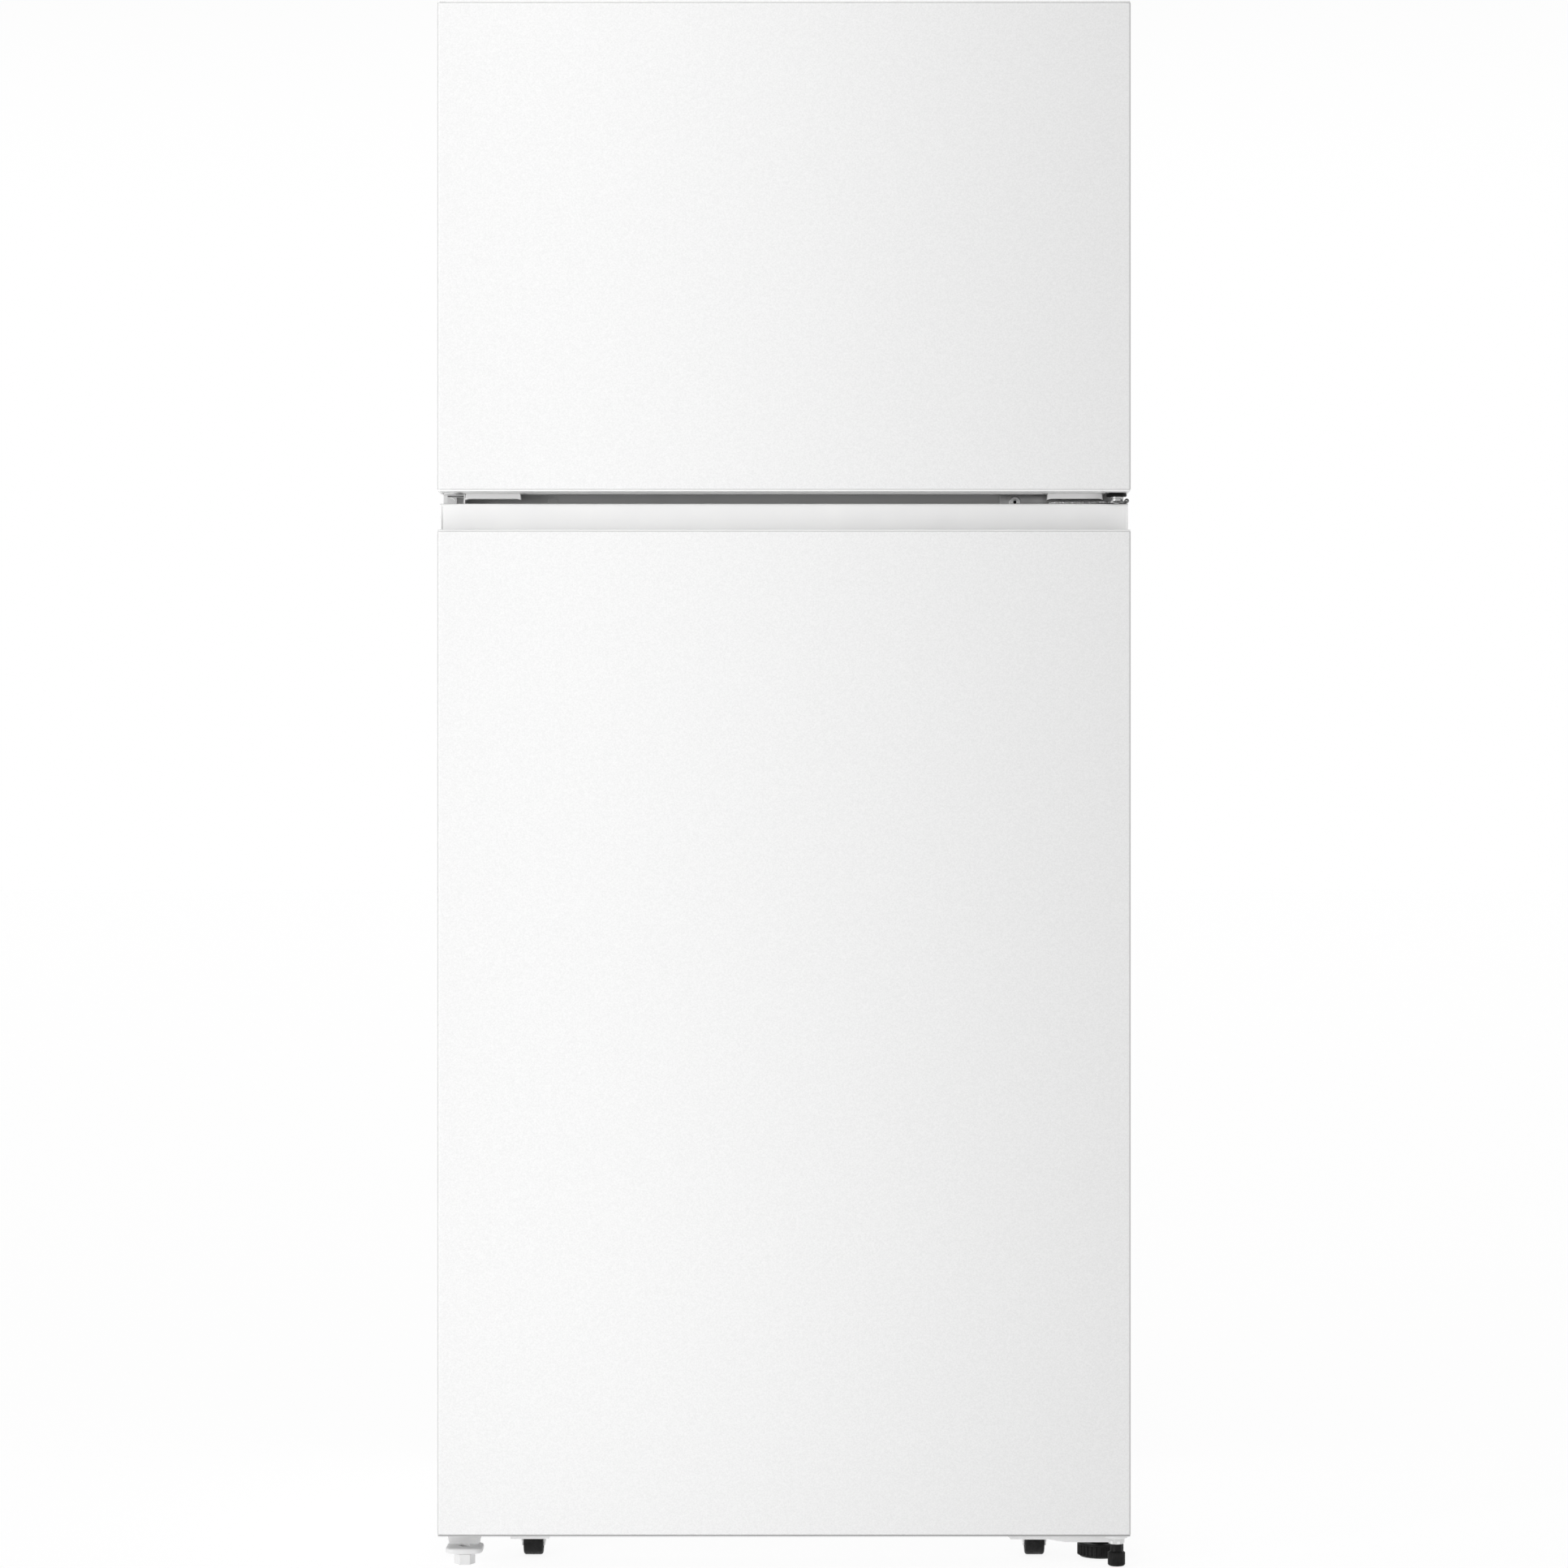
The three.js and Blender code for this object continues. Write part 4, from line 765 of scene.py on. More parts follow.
def liner_profile(grow, z, hump):
    """Side view of a compartment, larger by grow, from ahead of its mouth to its back wall."""
    y0, y1 = CASE_FRONT - 20, CAVITY_BACK + grow
    low, high = z[0] - grow, z[1] + grow
    if not hump:
        return [(y0, low), (y1, low), (y1, high), (y0, high)]
    step_y, step_z = HUMP_Y + grow, HUMP_Z - grow
    return [(y0, low), (step_y, low), (step_y, step_z), (y1, step_z), (y1, high), (y0, high)]


def add_compartment(node, z, hump, flange_z):
    """Formed liner with generous inner corners, a flange round its mouth and shelf ledges."""
    wall, corner = 1.6, 11
    outside = prism(liner_profile(wall, z, hump), "x", shrunk(CAVITY_X, -wall))
    inside = rounded_edges(prism(liner_profile(0, z, hump), "x", CAVITY_X), corner, 5)
    ahead = block((-400, 400), (CASE_FRONT - 100, CASE_FRONT + 1.4), (0, 2000))
    shell = carved(carved(rounded_edges(outside, corner, 5), [ahead]), [inside])
    flange = block((-351.5, 351.5), (CASE_FRONT + 1.3, CASE_FRONT + 3.2), flange_z)
    rim = carved(rounded_edges(flange, 0.4, 2), [inside])
    piece(f"{node}_shell", [shell, rim], "liner_plastic", (0.5, 2, 50), instead_of=node)
    ledges = []
    for shelf, back in LEDGES.items():
        top = box(shelf)[0].z + 3.7
        if z[0] < top < z[1]:
            for s in SIDES:
                outline = [(s * 326.2, top), (s * 316.5, top), (s * 315, top - 1.5)]
                outline += [(s * 315, top - 5), (s * 326.2, top - 11)]
                ledges.append(prism(outline, "y", (-186, back)))
    piece(f"{node}_ledges", ledges, "liner_plastic", (1, 3, 30))


def folded(outer, inner, y):
    """A bent sheet between two matching lines of (x, z) points, drawn out along y."""
    return lofted([[(o[0], y[0], o[1]), (o[0], y[1], o[1]), (i[0], y[1], i[1]), (i[0], y[0], i[1])]
                         for o, i in zip(outer, inner)])


def add_case():
    """Folded wrapper: two sides and a top in one bent sheet, with flanges round the front."""
    low, high = box("outer_case")
    bend, mouth_x, mouth_z = 5, 350, 1662.2

    def line(inset):
        r = bend - inset
        top = arc(high.x - bend, high.z - bend, r, 0, 90) + arc(low.x + bend, high.z - bend, r, 90, 180)
        return [(high.x - inset, low.z)] + top + [(low.x + inset, low.z)]

    mouth = [(mouth_x, low.z)] + [(mouth_x, mouth_z)] * 9 + [(-mouth_x, mouth_z)] * 9 + [(-mouth_x, low.z)]
    wrapper = folded(line(0), line(SHEET), (low.y + 0.4, high.y))
    flange = folded(line(0), mouth, (low.y, low.y + 1.2))
    piece("outer_case_wrapper", [wrapper, flange], "white_steel", (0.5, 3, 50), instead_of="outer_case")


CHANNELS = (-270, -135, 0, 135, 270)
CHANNEL_HALF, CHANNEL_SLOPE, CHANNEL_DEPTH = 19, 5, 3.4
CHANNEL_Z, CHANNEL_END = (370, 1390), 24
BORDER_X, BORDER_Z, BORDER_HALF, BORDER_DEPTH = 325, 1600, 7, 2.2


def smooth(value, start, end):
    t = min(max((value - start) / (end - start), 0), 1)
    return t * t * (3 - 2 * t)


def pressed(distance, half):
    """1 on the crest of a pressed bead, falling to 0 past its slopes."""
    return 1 - smooth(abs(distance), half, half + CHANNEL_SLOPE)


def back_relief(x, z):
    """Pressed beads of the back panel: wide upright channels and one bead across the top."""
    low, high = CHANNEL_Z
    inside = min(smooth(z, low, low + CHANNEL_END), 1 - smooth(z, high - CHANNEL_END, high))
    upright = max(CHANNEL_DEPTH * pressed(x - centre, CHANNEL_HALF) * inside for centre in CHANNELS)
    return max(upright, BORDER_DEPTH * pressed(z - BORDER_Z, BORDER_HALF) * pressed(x, BORDER_X))


def slope_lines(centre, half):
    """Where a bead's slopes need grid lines, on both of its sides."""
    return [centre + s * (half + CHANNEL_SLOPE * k / 4) for s in SIDES for k in range(5)]


def relief_sheet(x, z, y, thick):
    """The back panel's sheet, with grid lines only where its relief bends."""
    xs = [u for centre in CHANNELS for u in slope_lines(centre, CHANNEL_HALF)] + slope_lines(0, BORDER_X)
    zs = [end + side * CHANNEL_END * k / 6 for end, side in zip(CHANNEL_Z, (1, -1)) for k in range(7)]
    xs = sorted({*xs, *x})
    zs = sorted({*zs, *slope_lines(BORDER_Z, BORDER_HALF), *z})
    front = [(u, y + back_relief(u, v), v) for v in zs for u in xs]
    back = [(u, w - thick, v) for u, w, v in front]
    return sheet_skin(front, back, len(xs) - 1)


def screw(name, place, axis, toward, radius):
    """Pan head with a cross recess, facing along axis in the direction toward (1 or -1)."""
    steps = [(0.9, -1.2), (1, -0.8), (1, 0.2), (0.9, 0.8), (0.62, 1.25), (0.3, 1.4)]
    profile = [(0.3, -1.2)] + [(radius * u, v) for u, v in steps] + [(0.3, 1.4)]
    head = lathe([(u, toward * v) for u, v in profile], place, axis, 28)
    u, v = radius * 0.62, radius * 0.14
    bars = []
    for a, b in ((u, v), (v, u)):
        bar = prism([(-a, -b), (a, -b), (a, b), (-a, b)], axis, on_side(toward, 0.5, 3))
        bars.append(moved(bar, place))
    piece(name, carved(head, bars), "bare_steel", (0.12, 2, 40))


def add_back():
    """Back panel with pressed channels, wall spacers and screws along both sides."""
    low, high = box("back_panel")
    y = CASE_BACK
    sheet = relief_sheet((low.x, high.x), (low.z, high.z), y - 0.2, 0.8)
    piece("back_panel_sheet", sheet, "dull_steel", (0.2, 1, 60), instead_of="back_panel")
    steps = [(0, y - 1), (0, y + 4), (0.6, high.y - 1.6), (1.2, high.y - 0.5), (2.4, high.y)]
    spacers = [tapered(on_side(s, 190, 240), (1450, 1520), 8, steps, "y") for s in SIDES]
    piece("wall_spacers", spacers, "white_plastic", (0.4, 2, 60))
    for i, height in enumerate((330, 600, 870, 1140, 1410, 1660)):
        for s, side in zip(SIDES, ("left", "right")):
            screw(f"back_screw_{side}_{i + 1}", (s * 362, y, height), "y", 1, 4.2)


def add_rear_cover():
    """Sheet cover with rows of hooded louvres and screws along its edges."""
    refined("rear_access_cover", (0.3, 2, 40), "dull_steel")
    y = box("rear_access_cover")[1].y
    hoods = []
    for x in range(-300, 201, 125):
        for z in range(97, 183, 17):
            hood = [(y - 0.4, z)] + arc(y - 0.4, z - 0.5, 3.4, 80, 0, 6)
            hood += arc(y - 0.4, z - 0.5, 2.8, 0, 80, 6)
            hoods.append(prism(hood, "x", (x + 2, x + 93)))
    piece("rear_cover_louvres", hoods, "dull_steel", (0.15, 1, 50))
    for i, x in enumerate((-355, -120, 120, 355)):
        for k, z in enumerate((52, 282)):
            screw(f"rear_cover_screw_{i + 1}_{k + 1}", (x, y + 0.6, z), "y", 1, 4)


def add_cabinet():
    add_case()
    add_compartment("freezer_liner", (1202, 1636), False, (1200, 1661.7))
    add_compartment("fridge_liner", (100, 1132), True, (76, 1134))
    add_back()
    add_rear_cover()


# ---- Hinge hardware ----
def add_mullion_details():
    """Hole plugs on the left and the hinge's screw on the right, in the strip between the doors."""
    height, radius = 1161.3, 6.4
    place = (253.5, box("middle_hinge")[1].y - 3, height)
    rings = [(0.02, -0.1), (0.27, -0.1), (0.29, -1.5), (0.36, -1.7), (0.46, -1.6), (0.5, -0.9), (0.64, -0.9),
             (0.68, -1.3), (0.84, -1.5), (0.95, -1.2), (1, -0.3), (1, 0.6)]
    head = lathe([(radius * u, v) for u, v in rings], place, "y")
    piece("middle_hinge_screw", head, "bare_steel", (0.1, 2, 40))
    # Painted shade: a black disc deep in the screw head's recess, for the shade at the bottom of the hole
    rings = [(0.02, -0.05), (0.255, -0.05), (0.255, -0.4), (0.02, -0.4)]
    shade_disc = lathe([(radius * u, v) for u, v in rings], place, "y", 24)
    piece("middle_hinge_screw_hole_shade", shade_disc, "black_plastic", (0.08, 1, 40))
    profile = [(0.5, -0.9), (4.6, -0.9), (4.9, -0.5), (5.6, -0.5), (6.3, -0.25), (6.4, 0)]
    for i, x in enumerate((-253.5, -294)):
        plug = lathe(profile, (x, box("mullion_rail")[0].y, height), "y")
        # painted shade: the plugs take the darkened white of the shaded gap
        piece(f"hinge_hole_plug_{i + 1}", plug, "white_in_painted_shade", (0.15, 2, 40))


def add_hinge_blank():
    """White moulding that covers the unused hinge seat on the left, with a rib and a clip."""
    rail_front = box("mullion_rail")[0].y
    front, back = rail_front - 26, rail_front - 0.4
    x0, x1, z0, z1 = -372.5, -349.5, 1158.2, 1168.3
    outline = [(x0, back)] + arc(x0 + 6, front + 6, 6, 180, 270, 6) + [(x1, front), (x1, back)]
    slit_z = z1 - 2.6
    slit = block((x0 + 5, x1 + 1), (front - 1, front + 9), (slit_z, slit_z + 0.9))
    recess = block((x1 - 8, x1 + 1), (front - 1, front + 8), (z0 - 1, slit_z - 0.8))
    blank = carved(prism(outline, "z", (z0, z1)), [slit, recess])
    # painted shade: the white moulding is coloured dark grey for the shade it sits in
    piece("hinge_seat_blank", blank, "white_in_painted_shade", (0.35, 3, 35))
    centre = (x0 + 8, z0 + 1.4)
    clip = prism(arc(*centre, 5.4, 90, 20) + arc(*centre, 4.6, 20, 90), "y", (front - 0.7, front + 2))
    piece("hinge_seat_clip", clip, "white_plastic", (0.2, 2, 35))
    rib = block((x1 - 0.2, x1 + 1.2), (front - 2, back), (z0 - 0.2, z1 + 1))
    piece("hinge_seat_rib", rib, "white_plastic", (0.25, 2, 35))


def add_middle_hinge():
    """Plate on the rail, a leaf that runs forward under the stop block, a shiny nut and a dark collar. The
    leaf's dark, speckled steel is painted shade with painted glints.
    """
    low, high = box("middle_hinge")
    x, y = HINGE
    plate = prism(rounded_rect((low.x, 372), (1153.5, 1173.5), 3), "y", (high.y - 3, high.y))
    rounded_edges(plate, 0.3, 2)
    piece("middle_hinge_plate", plate, "dull_steel", (0.2, 2, 50), instead_of="middle_hinge")
    leaf = [(288, high.y), (288, y + 9), (296, y + 3), (330, y + 1), (346, y - 6)]
    leaf += arc(x, y, 11.5, 215, 360, 14) + [(373.5, y + 8), (372, high.y)]
    tip = [(0.2, -0.4), (1.5, 0), (2.3, 1), (2.5, 2.4), (2.5, 9), (2.2, 10.4), (0.2, 11)]
    parts = [prism(leaf, "z", (1157.8, 1160)), lathe(tip, (373.5, y - 7, 1160.5), "y", 28)]
    # painted shade and painted glints on the leaf's steel
    piece("middle_hinge_leaf", parts, "steel_with_painted_glints", (0.5, 3, 40))
    pin = [(0.3, 1144.5), (3.2, 1144.5), (4, 1146), (4, 1180.8), (3.2, 1182), (0.3, 1182)]
    piece("middle_hinge_pin", lathe(pin, (x, y, 0), steps=32), "bare_steel", (0.2, 2, 40))
    nut = [(4.2, 0), (6.2, 0), (6.7, 0.5), (6.7, 2.1), (6.1, 2.4), (6.1, 3), (6.7, 3.3), (6.7, 4.8), (6.2, 5.3),
           (4.2, 5.3)]
    piece("middle_hinge_nut", lathe(nut, (x, y, 1160), steps=40), "bare_steel", (0.15, 2, 40))
    # A bushing whose black plastic also stands in for the shade in the door's hinge pocket above the pin
    collar = [(4.2, 0), (10.6, 0), (11.2, 0.5), (11.2, 2.6), (10.8, 3.1), (8.2, 3.1), (8.2, 9), (4.2, 9)]
    piece("middle_hinge_collar", lathe(collar, (x, y, 1165.3)), "black_plastic", (0.25, 2, 40))


def add_bottom_hinge():
    """Painted plate and arm, with a notched nut and a washer on the pin."""
    refined("bottom_hinge", (0.5, 3, 30), "white_steel")
    x, y = HINGE
    turns = range(0, 360, 60)
    nut = prism([polar(x, y, 9.2, turn + 12) for turn in turns], "z", (24.5, 30.5))
    notches = [moved(block((4, 12), (-1.6, 1.6), (23.5, 27.1)), (x, y, 0), turn + 42) for turn in turns]
    piece("bottom_hinge_nut", carved(nut, notches), "bare_steel", (0.35, 2, 35))
    washer = [(4.3, 0), (8.6, 0), (8.9, 0.4), (8.9, 1.4), (8.4, 1.8), (4.3, 1.8)]
    piece("bottom_hinge_washer", lathe(washer, (x, y, 34.1), steps=40), "bare_steel", (0.2, 2, 40))


def add_top_hinge():
    """Bent plate with its pin, and the soft-edged cover with its screw."""
    refined("top_hinge", (0.6, 3, 30))
    refined("top_hinge_cover", (2.2, 4, 30)).data.shade_smooth()
    place = (HINGE[0] - 28, CASE_FRONT + 62, box("top_hinge_cover")[1].z - 0.4)
    screw("top_hinge_cover_screw", place, "z", 1, 4.2)


def add_hinges():
    add_middle_hinge()
    add_top_hinge()
    add_mullion_details()
    add_hinge_blank()
    add_bottom_hinge()
    # painted shade: the rail's white paint darkened to grey for the shade between the doors
    refined("mullion_rail", (0.5, 3, 30), "white_in_painted_shade")


# ---- Feet and rollers ----
def add_roller(node):
    """Barrel roller with a moulding seam and a hollow at each end."""
    low, high = box(node)
    half, r, bore = (high.x - low.x) / 2, (high.z - low.z) / 2, 3.4
    side = [(bore, 2 - half), (r - 7, 2 - half), (r - 6, -half), (r - 3.3, -half)]
    side += [(u, v) for v, u in arc(3 - half, r - 3, 3, 180, 90)] + [(r, -0.5)]
    profile = side + [(r + 0.12, 0)] + [(u, -v) for u, v in reversed(side)]
    tread = lathe(profile, (low + high) / 2, "x", 64)
    piece(f"{node}_tread", tread, "black_plastic", (0.2, 2, 50), node, node)


def add_leveling_wheel():
    """Hand wheel with a ribbed rim between two plain edges."""
    node = "right_leveling_wheel"
    low, high = box(node)
    x, y, _ = (low + high) / 2
    ribs = fluted((x, y), "z", (2.2, 13.6), 30, high.x - x, 1.3, 0.3)
    core = [(0.5, 0), (20.6, 0), (22.6, 0.4), (24.4, 2.4), (24.4, 13), (25.1, 13.4), (25.1, 15.2), (24.4, 16),
            (19.6, 16), (18.6, 14.4), (11, 14.4), (10, 17.5), (5, 17.5), (5, 37.6), (0.5, 37.6)]
    parts = [ribs, lathe(core, (x, y, 0), steps=96)]
    piece("leveling_wheel", parts, "black_plastic", (0.25, 2, 40), node, node)


def add_hinge_foot():
    """Stepped foot with shallow flutes round its lower half."""
    node = "hinge_side_foot"
    low, high = box(node)
    x, y, _ = (low + high) / 2
    wide = high.x - x
    flutes = fluted((x, y), "z", (1.4, 14.6), 26, wide, 0.22, 0.5)
    profile = [(0.5, 0), (wide - 1.8, 0), (wide - 0.7, 0.7), (wide - 0.3, 1.8), (wide - 0.3, 14.4),
               (wide - 0.9, 15.3), (6.9, 15.6), (6.7, 16.2), (6.7, 22.8), (6.1, 23.5), (0.5, 23.5)]
    parts = [flutes, lathe(profile, (x, y, 0), steps=64)]
    piece("hinge_foot", parts, "black_plastic", (0.2, 2, 40), node, node)


def add_left_foot():
    """Moulded bracket with a flared web, and the hexagonal foot with its stud."""
    node = "left_leveling_foot"
    low, high = box(node)
    x, y, _ = (low + high) / 2
    back = box("left_foot_bracket")[1].y
    half, front = 20.2, y - 19
    steps = ((3.2, 13), (1.2, 13.3), (0.2, 14.4), (0, 16), (0.2, 18.2), (1.1, 19.3), (2.4, 19.6))
    plate = nested([(shrunk(around(x, half), i), (front + i, back), 10, z) for i, z in steps])
    bore = lathe([(5.75, 8), (5.75, 24)], (x, y, 0), steps=36)
    collar = lathe([(6.4, 12), (13.4, 12), (14.6, 12.6), (15.4, 14), (6.4, 14)], (x, y, 0))
    web_low, web_rise = 18, 19.7
    shares = [k / 6 for k in range(7)]
    left = [(x - half + 3.4 - 3.4 * math.sin(math.pi / 2 * t), web_low + web_rise * t) for t in shares]
    right = [(x + half - 5 + 6.5 * t ** 1.6, web_low + web_rise * t) for t in shares]
    web = prism(left[::-1] + right, "y", (y + 9, back))
    tab = block((x - half, x + half + 1.5), (back - 3, back), (36, 70))
    bracket = [carved(plate, [bore]), carved(collar, [bore]), web, tab]
    piece("left_foot_bracket_moulding", bracket, "nylon", (0.5, 3, 30), instead_of="left_foot_bracket")
    hexagon = prism([polar(x, y, 11.6, 60 * i + 4) for i in range(6)], "z", (0, 11.4))
    piece("left_leveling_hexagon", hexagon, "nylon", (0.7, 3, 25), node, node)
    stud = lathe([(0.3, 11), (4.9, 11), (4.9, 16.6), (4.4, 17.1), (0.3, 17.1)], (x, y, 0), steps=32)
    piece("left_leveling_stud", stud, "black_steel", (0.2, 2, 40), node)


def add_feet():
    for side in ("left", "right"):
        add_roller(f"front_roller_{side}")
        add_roller(f"rear_roller_{side}")
        refined(f"front_roller_fork_{side}", (0.5, 3, 30))
    add_leveling_wheel()
    add_hinge_foot()
    add_left_foot()


# ---- Cooling parts ----
def add_freezer_back_panel():
    """Rear wall of the freezer: a raised centre that holds the fan grille, ribs and slotted outlets."""
    low, high = box("freezer_back_panel")
    front = low.y
    sheet = rounded_edges(block((low.x, high.x), (front, high.y), (low.z, high.z)), 0.6, 2)
    steps = [(0, front + 1), (0, front - 0.5), (4, front - 5), (7, front - 6.5), (11, front - 7)]
    parts = [sheet, tapered((-150, 150), (1300, high.z - 4), 22, steps, "y")]
    for x in (-280, -235, -190, 190, 235, 280):
        rib = prism(rounded_rect(around(x, 3), (1280, 1600), 3, 5), "y", (front - 1.8, front + 1))
        parts.append(rounded_edges(rib, 0.8, 2))
    slots = [(on_side(s, 170, 290), (z, z + 6), 2.9) for s in SIDES for z in (1214, 1226, 1238)]
    for z in range(1496, 1581, 14):
        half = math.sqrt(56 ** 2 - (z + 3.5 - 1540) ** 2)
        slots.append(((-half, half), (z, z + 7), 3.4))
    through = (front - 12, high.y + 4)
    cutters = [prism(rounded_rect(x, z, r, 5), "y", through) for x, z, r in slots]
    panel = carved(merged(parts), cutters)
    piece("freezer_back_cover", panel, "liner_plastic", (0.4, 2, 35), instead_of="freezer_back_panel")
    places = ((-125, front - 7, 1330), (125, front - 7, 1330), (-305, front, 1620), (305, front, 1620))
    for i, place in enumerate(places):
        screw(f"freezer_back_screw_{i + 1}", place, "y", -1, 3.6)


def add_evaporator():
    """Aluminium fins pierced by a serpentine tube with round bends."""
    fins = [block(around(-240 + 480 * i / 75, 0.25), (254.5, 299.5), (1218, 1400)) for i in range(76)]
    piece("evaporator_fins", fins, "aluminium_fin", (0.08, 1, 60), instead_of="evaporator")
    tubes = [serpentine((-250, 250), y, range(1237, 1382, 24), 4.2) for y in (267, 288)]
    piece("evaporator_tubes", tubes, "aluminium_fin", (0.1, 1, 70))
    ends = [block(on_side(s, 240.5, 242.5), (253.5, 300.5), (1214, 1404)) for s in SIDES]
    piece("evaporator_end_plates", ends, "bare_steel", (0.4, 2, 40))


def fan_wheel(centre, tilt, radius):
    """Hub with five swept, twisted blades, tipped over by a quarter turn about the axis tilt."""
    count, depth, rows, columns, sweep = 5, 14, 8, 10, 20.0535
    hub = radius * 0.28
    profile = [(0.6, -8), (hub * 0.8, -8), (hub, -5.5), (hub, 7), (0.6, 7)]
    parts = [lathe(profile, (0, 0, 0))]
    root, tip = hub * 0.94, radius * 0.96
    for i in range(count):
        grids = ([], [])
        for r in range(rows + 1):
            share = r / rows
            start = 360 * i / count + sweep * share * share
            half = 23 + 5 * math.sin(math.pi * share)
            for c in range(columns + 1):
                across = 2 * c / columns - 1
                trim = 1 - 0.22 * max(share - 0.7, 0) / 0.3 * across * across
                u, v = polar(0, 0, (root + (tip - root) * share) * trim, start + half * across)
                lift = depth * (0.44 - 0.1 * share) * across + 1.2 * (1 - across * across)
                for grid, face in zip(grids, (0.7, -0.7)):
                    grid.append((u, v, lift + face))
        parts.append(sheet_skin(*grids, columns))
    return moved(merged(parts), centre, 90, tilt)


def add_evaporator_fan():
    """Fan wheel, and its motor on two arms with legs to the panel."""
    wheel = fan_wheel((0, 262, 1540), "X", 52)
    piece("freezer_fan_wheel", wheel, "white_plastic", (0.25, 2, 45), "evaporator_fan", "evaporator_fan_blade")
    can = [(0.5, 273), (2.8, 273), (2.8, 279), (9, 279), (17, 279.6), (19.4, 281), (20, 283), (20, 297),
           (19, 299), (12, 300), (0.5, 300)]
    parts = [lathe(can, (0, 0, 1540), "y", 56)]
    z = around(1540, 8)
    for s in SIDES:
        parts.append(rounded_edges(block(on_side(s, 12, 70), (298, 301), z), 0.8, 2))
        parts.append(block(on_side(s, 65.5, 70), (298.5, 311.5), z))
    piece("freezer_fan_motor", parts, "black_steel", (0.4, 2, 40), instead_of="evaporator_fan_motor")


def add_air_duct():
    """Tall cover on the fridge's rear wall with angled louvres and a centre channel."""
    low, high = box("fridge_air_duct")
    front, x = low.y, (low.x, high.x)
    steps = ((0, 0, 10, high.y), (0, 0, 10, front + 12), (3, 0.5, 10, front + 4), (5, 1, 9, front + 1.2),
             (8, 2, 7, front))
    whole = nested([(shrunk(x, i), (low.z + i, high.z - top), r, y) for i, top, r, y in steps], "y")
    channel = prism(rounded_rect((-12, 12), (low.z + 40, high.z - 60), 10), "y", (front - 2, front + 2))
    cutters, vanes = [rounded_edges(channel, 0.8, 2)], []
    for z in [bottom + 14 * k for bottom in (425, 700, 960) for k in range(3)]:
        vane = [(front + 0.4, z - 0.6), (front + 7, z + 4.6), (front + 7, z + 5.6), (front + 0.4, z + 0.4)]
        for x0 in (-80, 30):
            hole = rounded_rect((x0, x0 + 50), (z, z + 7), 3, 5)
            cutters.append(prism(hole, "y", (front - 2, front + 9)))
            vanes.append(prism(vane, "x", (x0 + 1, x0 + 49)))
    cover = carved(whole, cutters)
    piece("fridge_air_duct_cover", cover, "liner_plastic", (0.5, 3, 35), instead_of="fridge_air_duct")
    piece("fridge_air_duct_louvres", vanes, "liner_plastic", (0.25, 2, 40))


DIAL_X, DIAL_Z = 70, 1112


def add_control():
    """Ceiling housing with a lamp lens and the dial's marks."""
    low, high = box("control_housing")
    front, under = low.y, low.z
    side = [(front + 0.4, high.z), (front, under + 7)] + arc(front + 6, under + 6, 6, 180, 270)
    side += [(high.y - 20, under), (high.y, under + 8), (high.y, high.z)]
    lamp_y = (front + 40, front + 190)
    recess = prism(rounded_rect((-95, 95), lamp_y, 14), "z", (under - 4, under + 6))
    hole = lathe([(19, -4), (19, 1.2)], (DIAL_X, front, DIAL_Z), "y")
    housing = carved(prism(side, "x", (low.x, high.x)), [rounded_edges(recess, 2), hole])
    piece("control_housing_cover", housing, "liner_plastic", (0.8, 3, 30), instead_of="control_housing")
    steps = ((3, 12, 5), (3, 12, 1.4), (6, 10, -1.4), (12, 7, -2.6))
    lens = [nested([(around(0, 95 - i), shrunk(lamp_y, i), r, under + rise) for i, r, rise in steps])]
    for i in range(21):
        ridge = rounded_rect(around(7.5 * i - 75, 1), shrunk(lamp_y, 18), 0.9, 3)
        lens.append(prism(ridge, "z", (under - 3.4, under - 2)))
    piece("lamp_lens", lens, "lamp_lens", (0.3, 2, 40))
    marks = []
    for turn, length in ((210, 4.6), (180, 2.8), (150, 4.6), (30, 4.6), (0, 2.8), (-30, 4.6)):
        mark = block((20.6, 20.6 + length), (-1.6, 0), (-0.45, 0.45))
        marks.append(moved(mark, (DIAL_X, front + 0.6, DIAL_Z), -turn, "Y"))
    piece("dial_marks", marks, "gasket_rubber", (0.1, 1, 40))


def add_knob():
    """Dial with a fluted rim, a finger bar and a pointer groove."""
    node = "temperature_knob"
    x, y, z = DIAL_X, box("control_housing")[0].y, DIAL_Z
    rim = fluted((x, z), "y", (y - 7.4, y - 1.6), 36, 16, 0.5, 0.5, 0.88)
    disc = [(0.5, -9.2), (9, -9.2), (13.8, -8.6), (15.1, -7.6), (15.4, -6.4), (15.4, -1.2), (0.5, -1.2)]
    grip = prism(rounded_rect(around(x, 3), around(z, 13.6), 2.9), "y", (y - 17, y - 8))
    pointer = block(around(x, 0.5), (y - 18, y - 16.4), (z + 3, z + 12.5))
    shaft = lathe([(0.4, -2), (3, -2), (3, 9.6), (0.4, 9.6)], (x, y, z), "y", 24)
    parts = [rim, lathe(disc, (x, y, z), "y", 64), carved(rounded_edges(grip, 1.1), [pointer]), shaft]
    piece("thermostat_knob", parts, "white_plastic", (0.2, 2, 40), node, node)


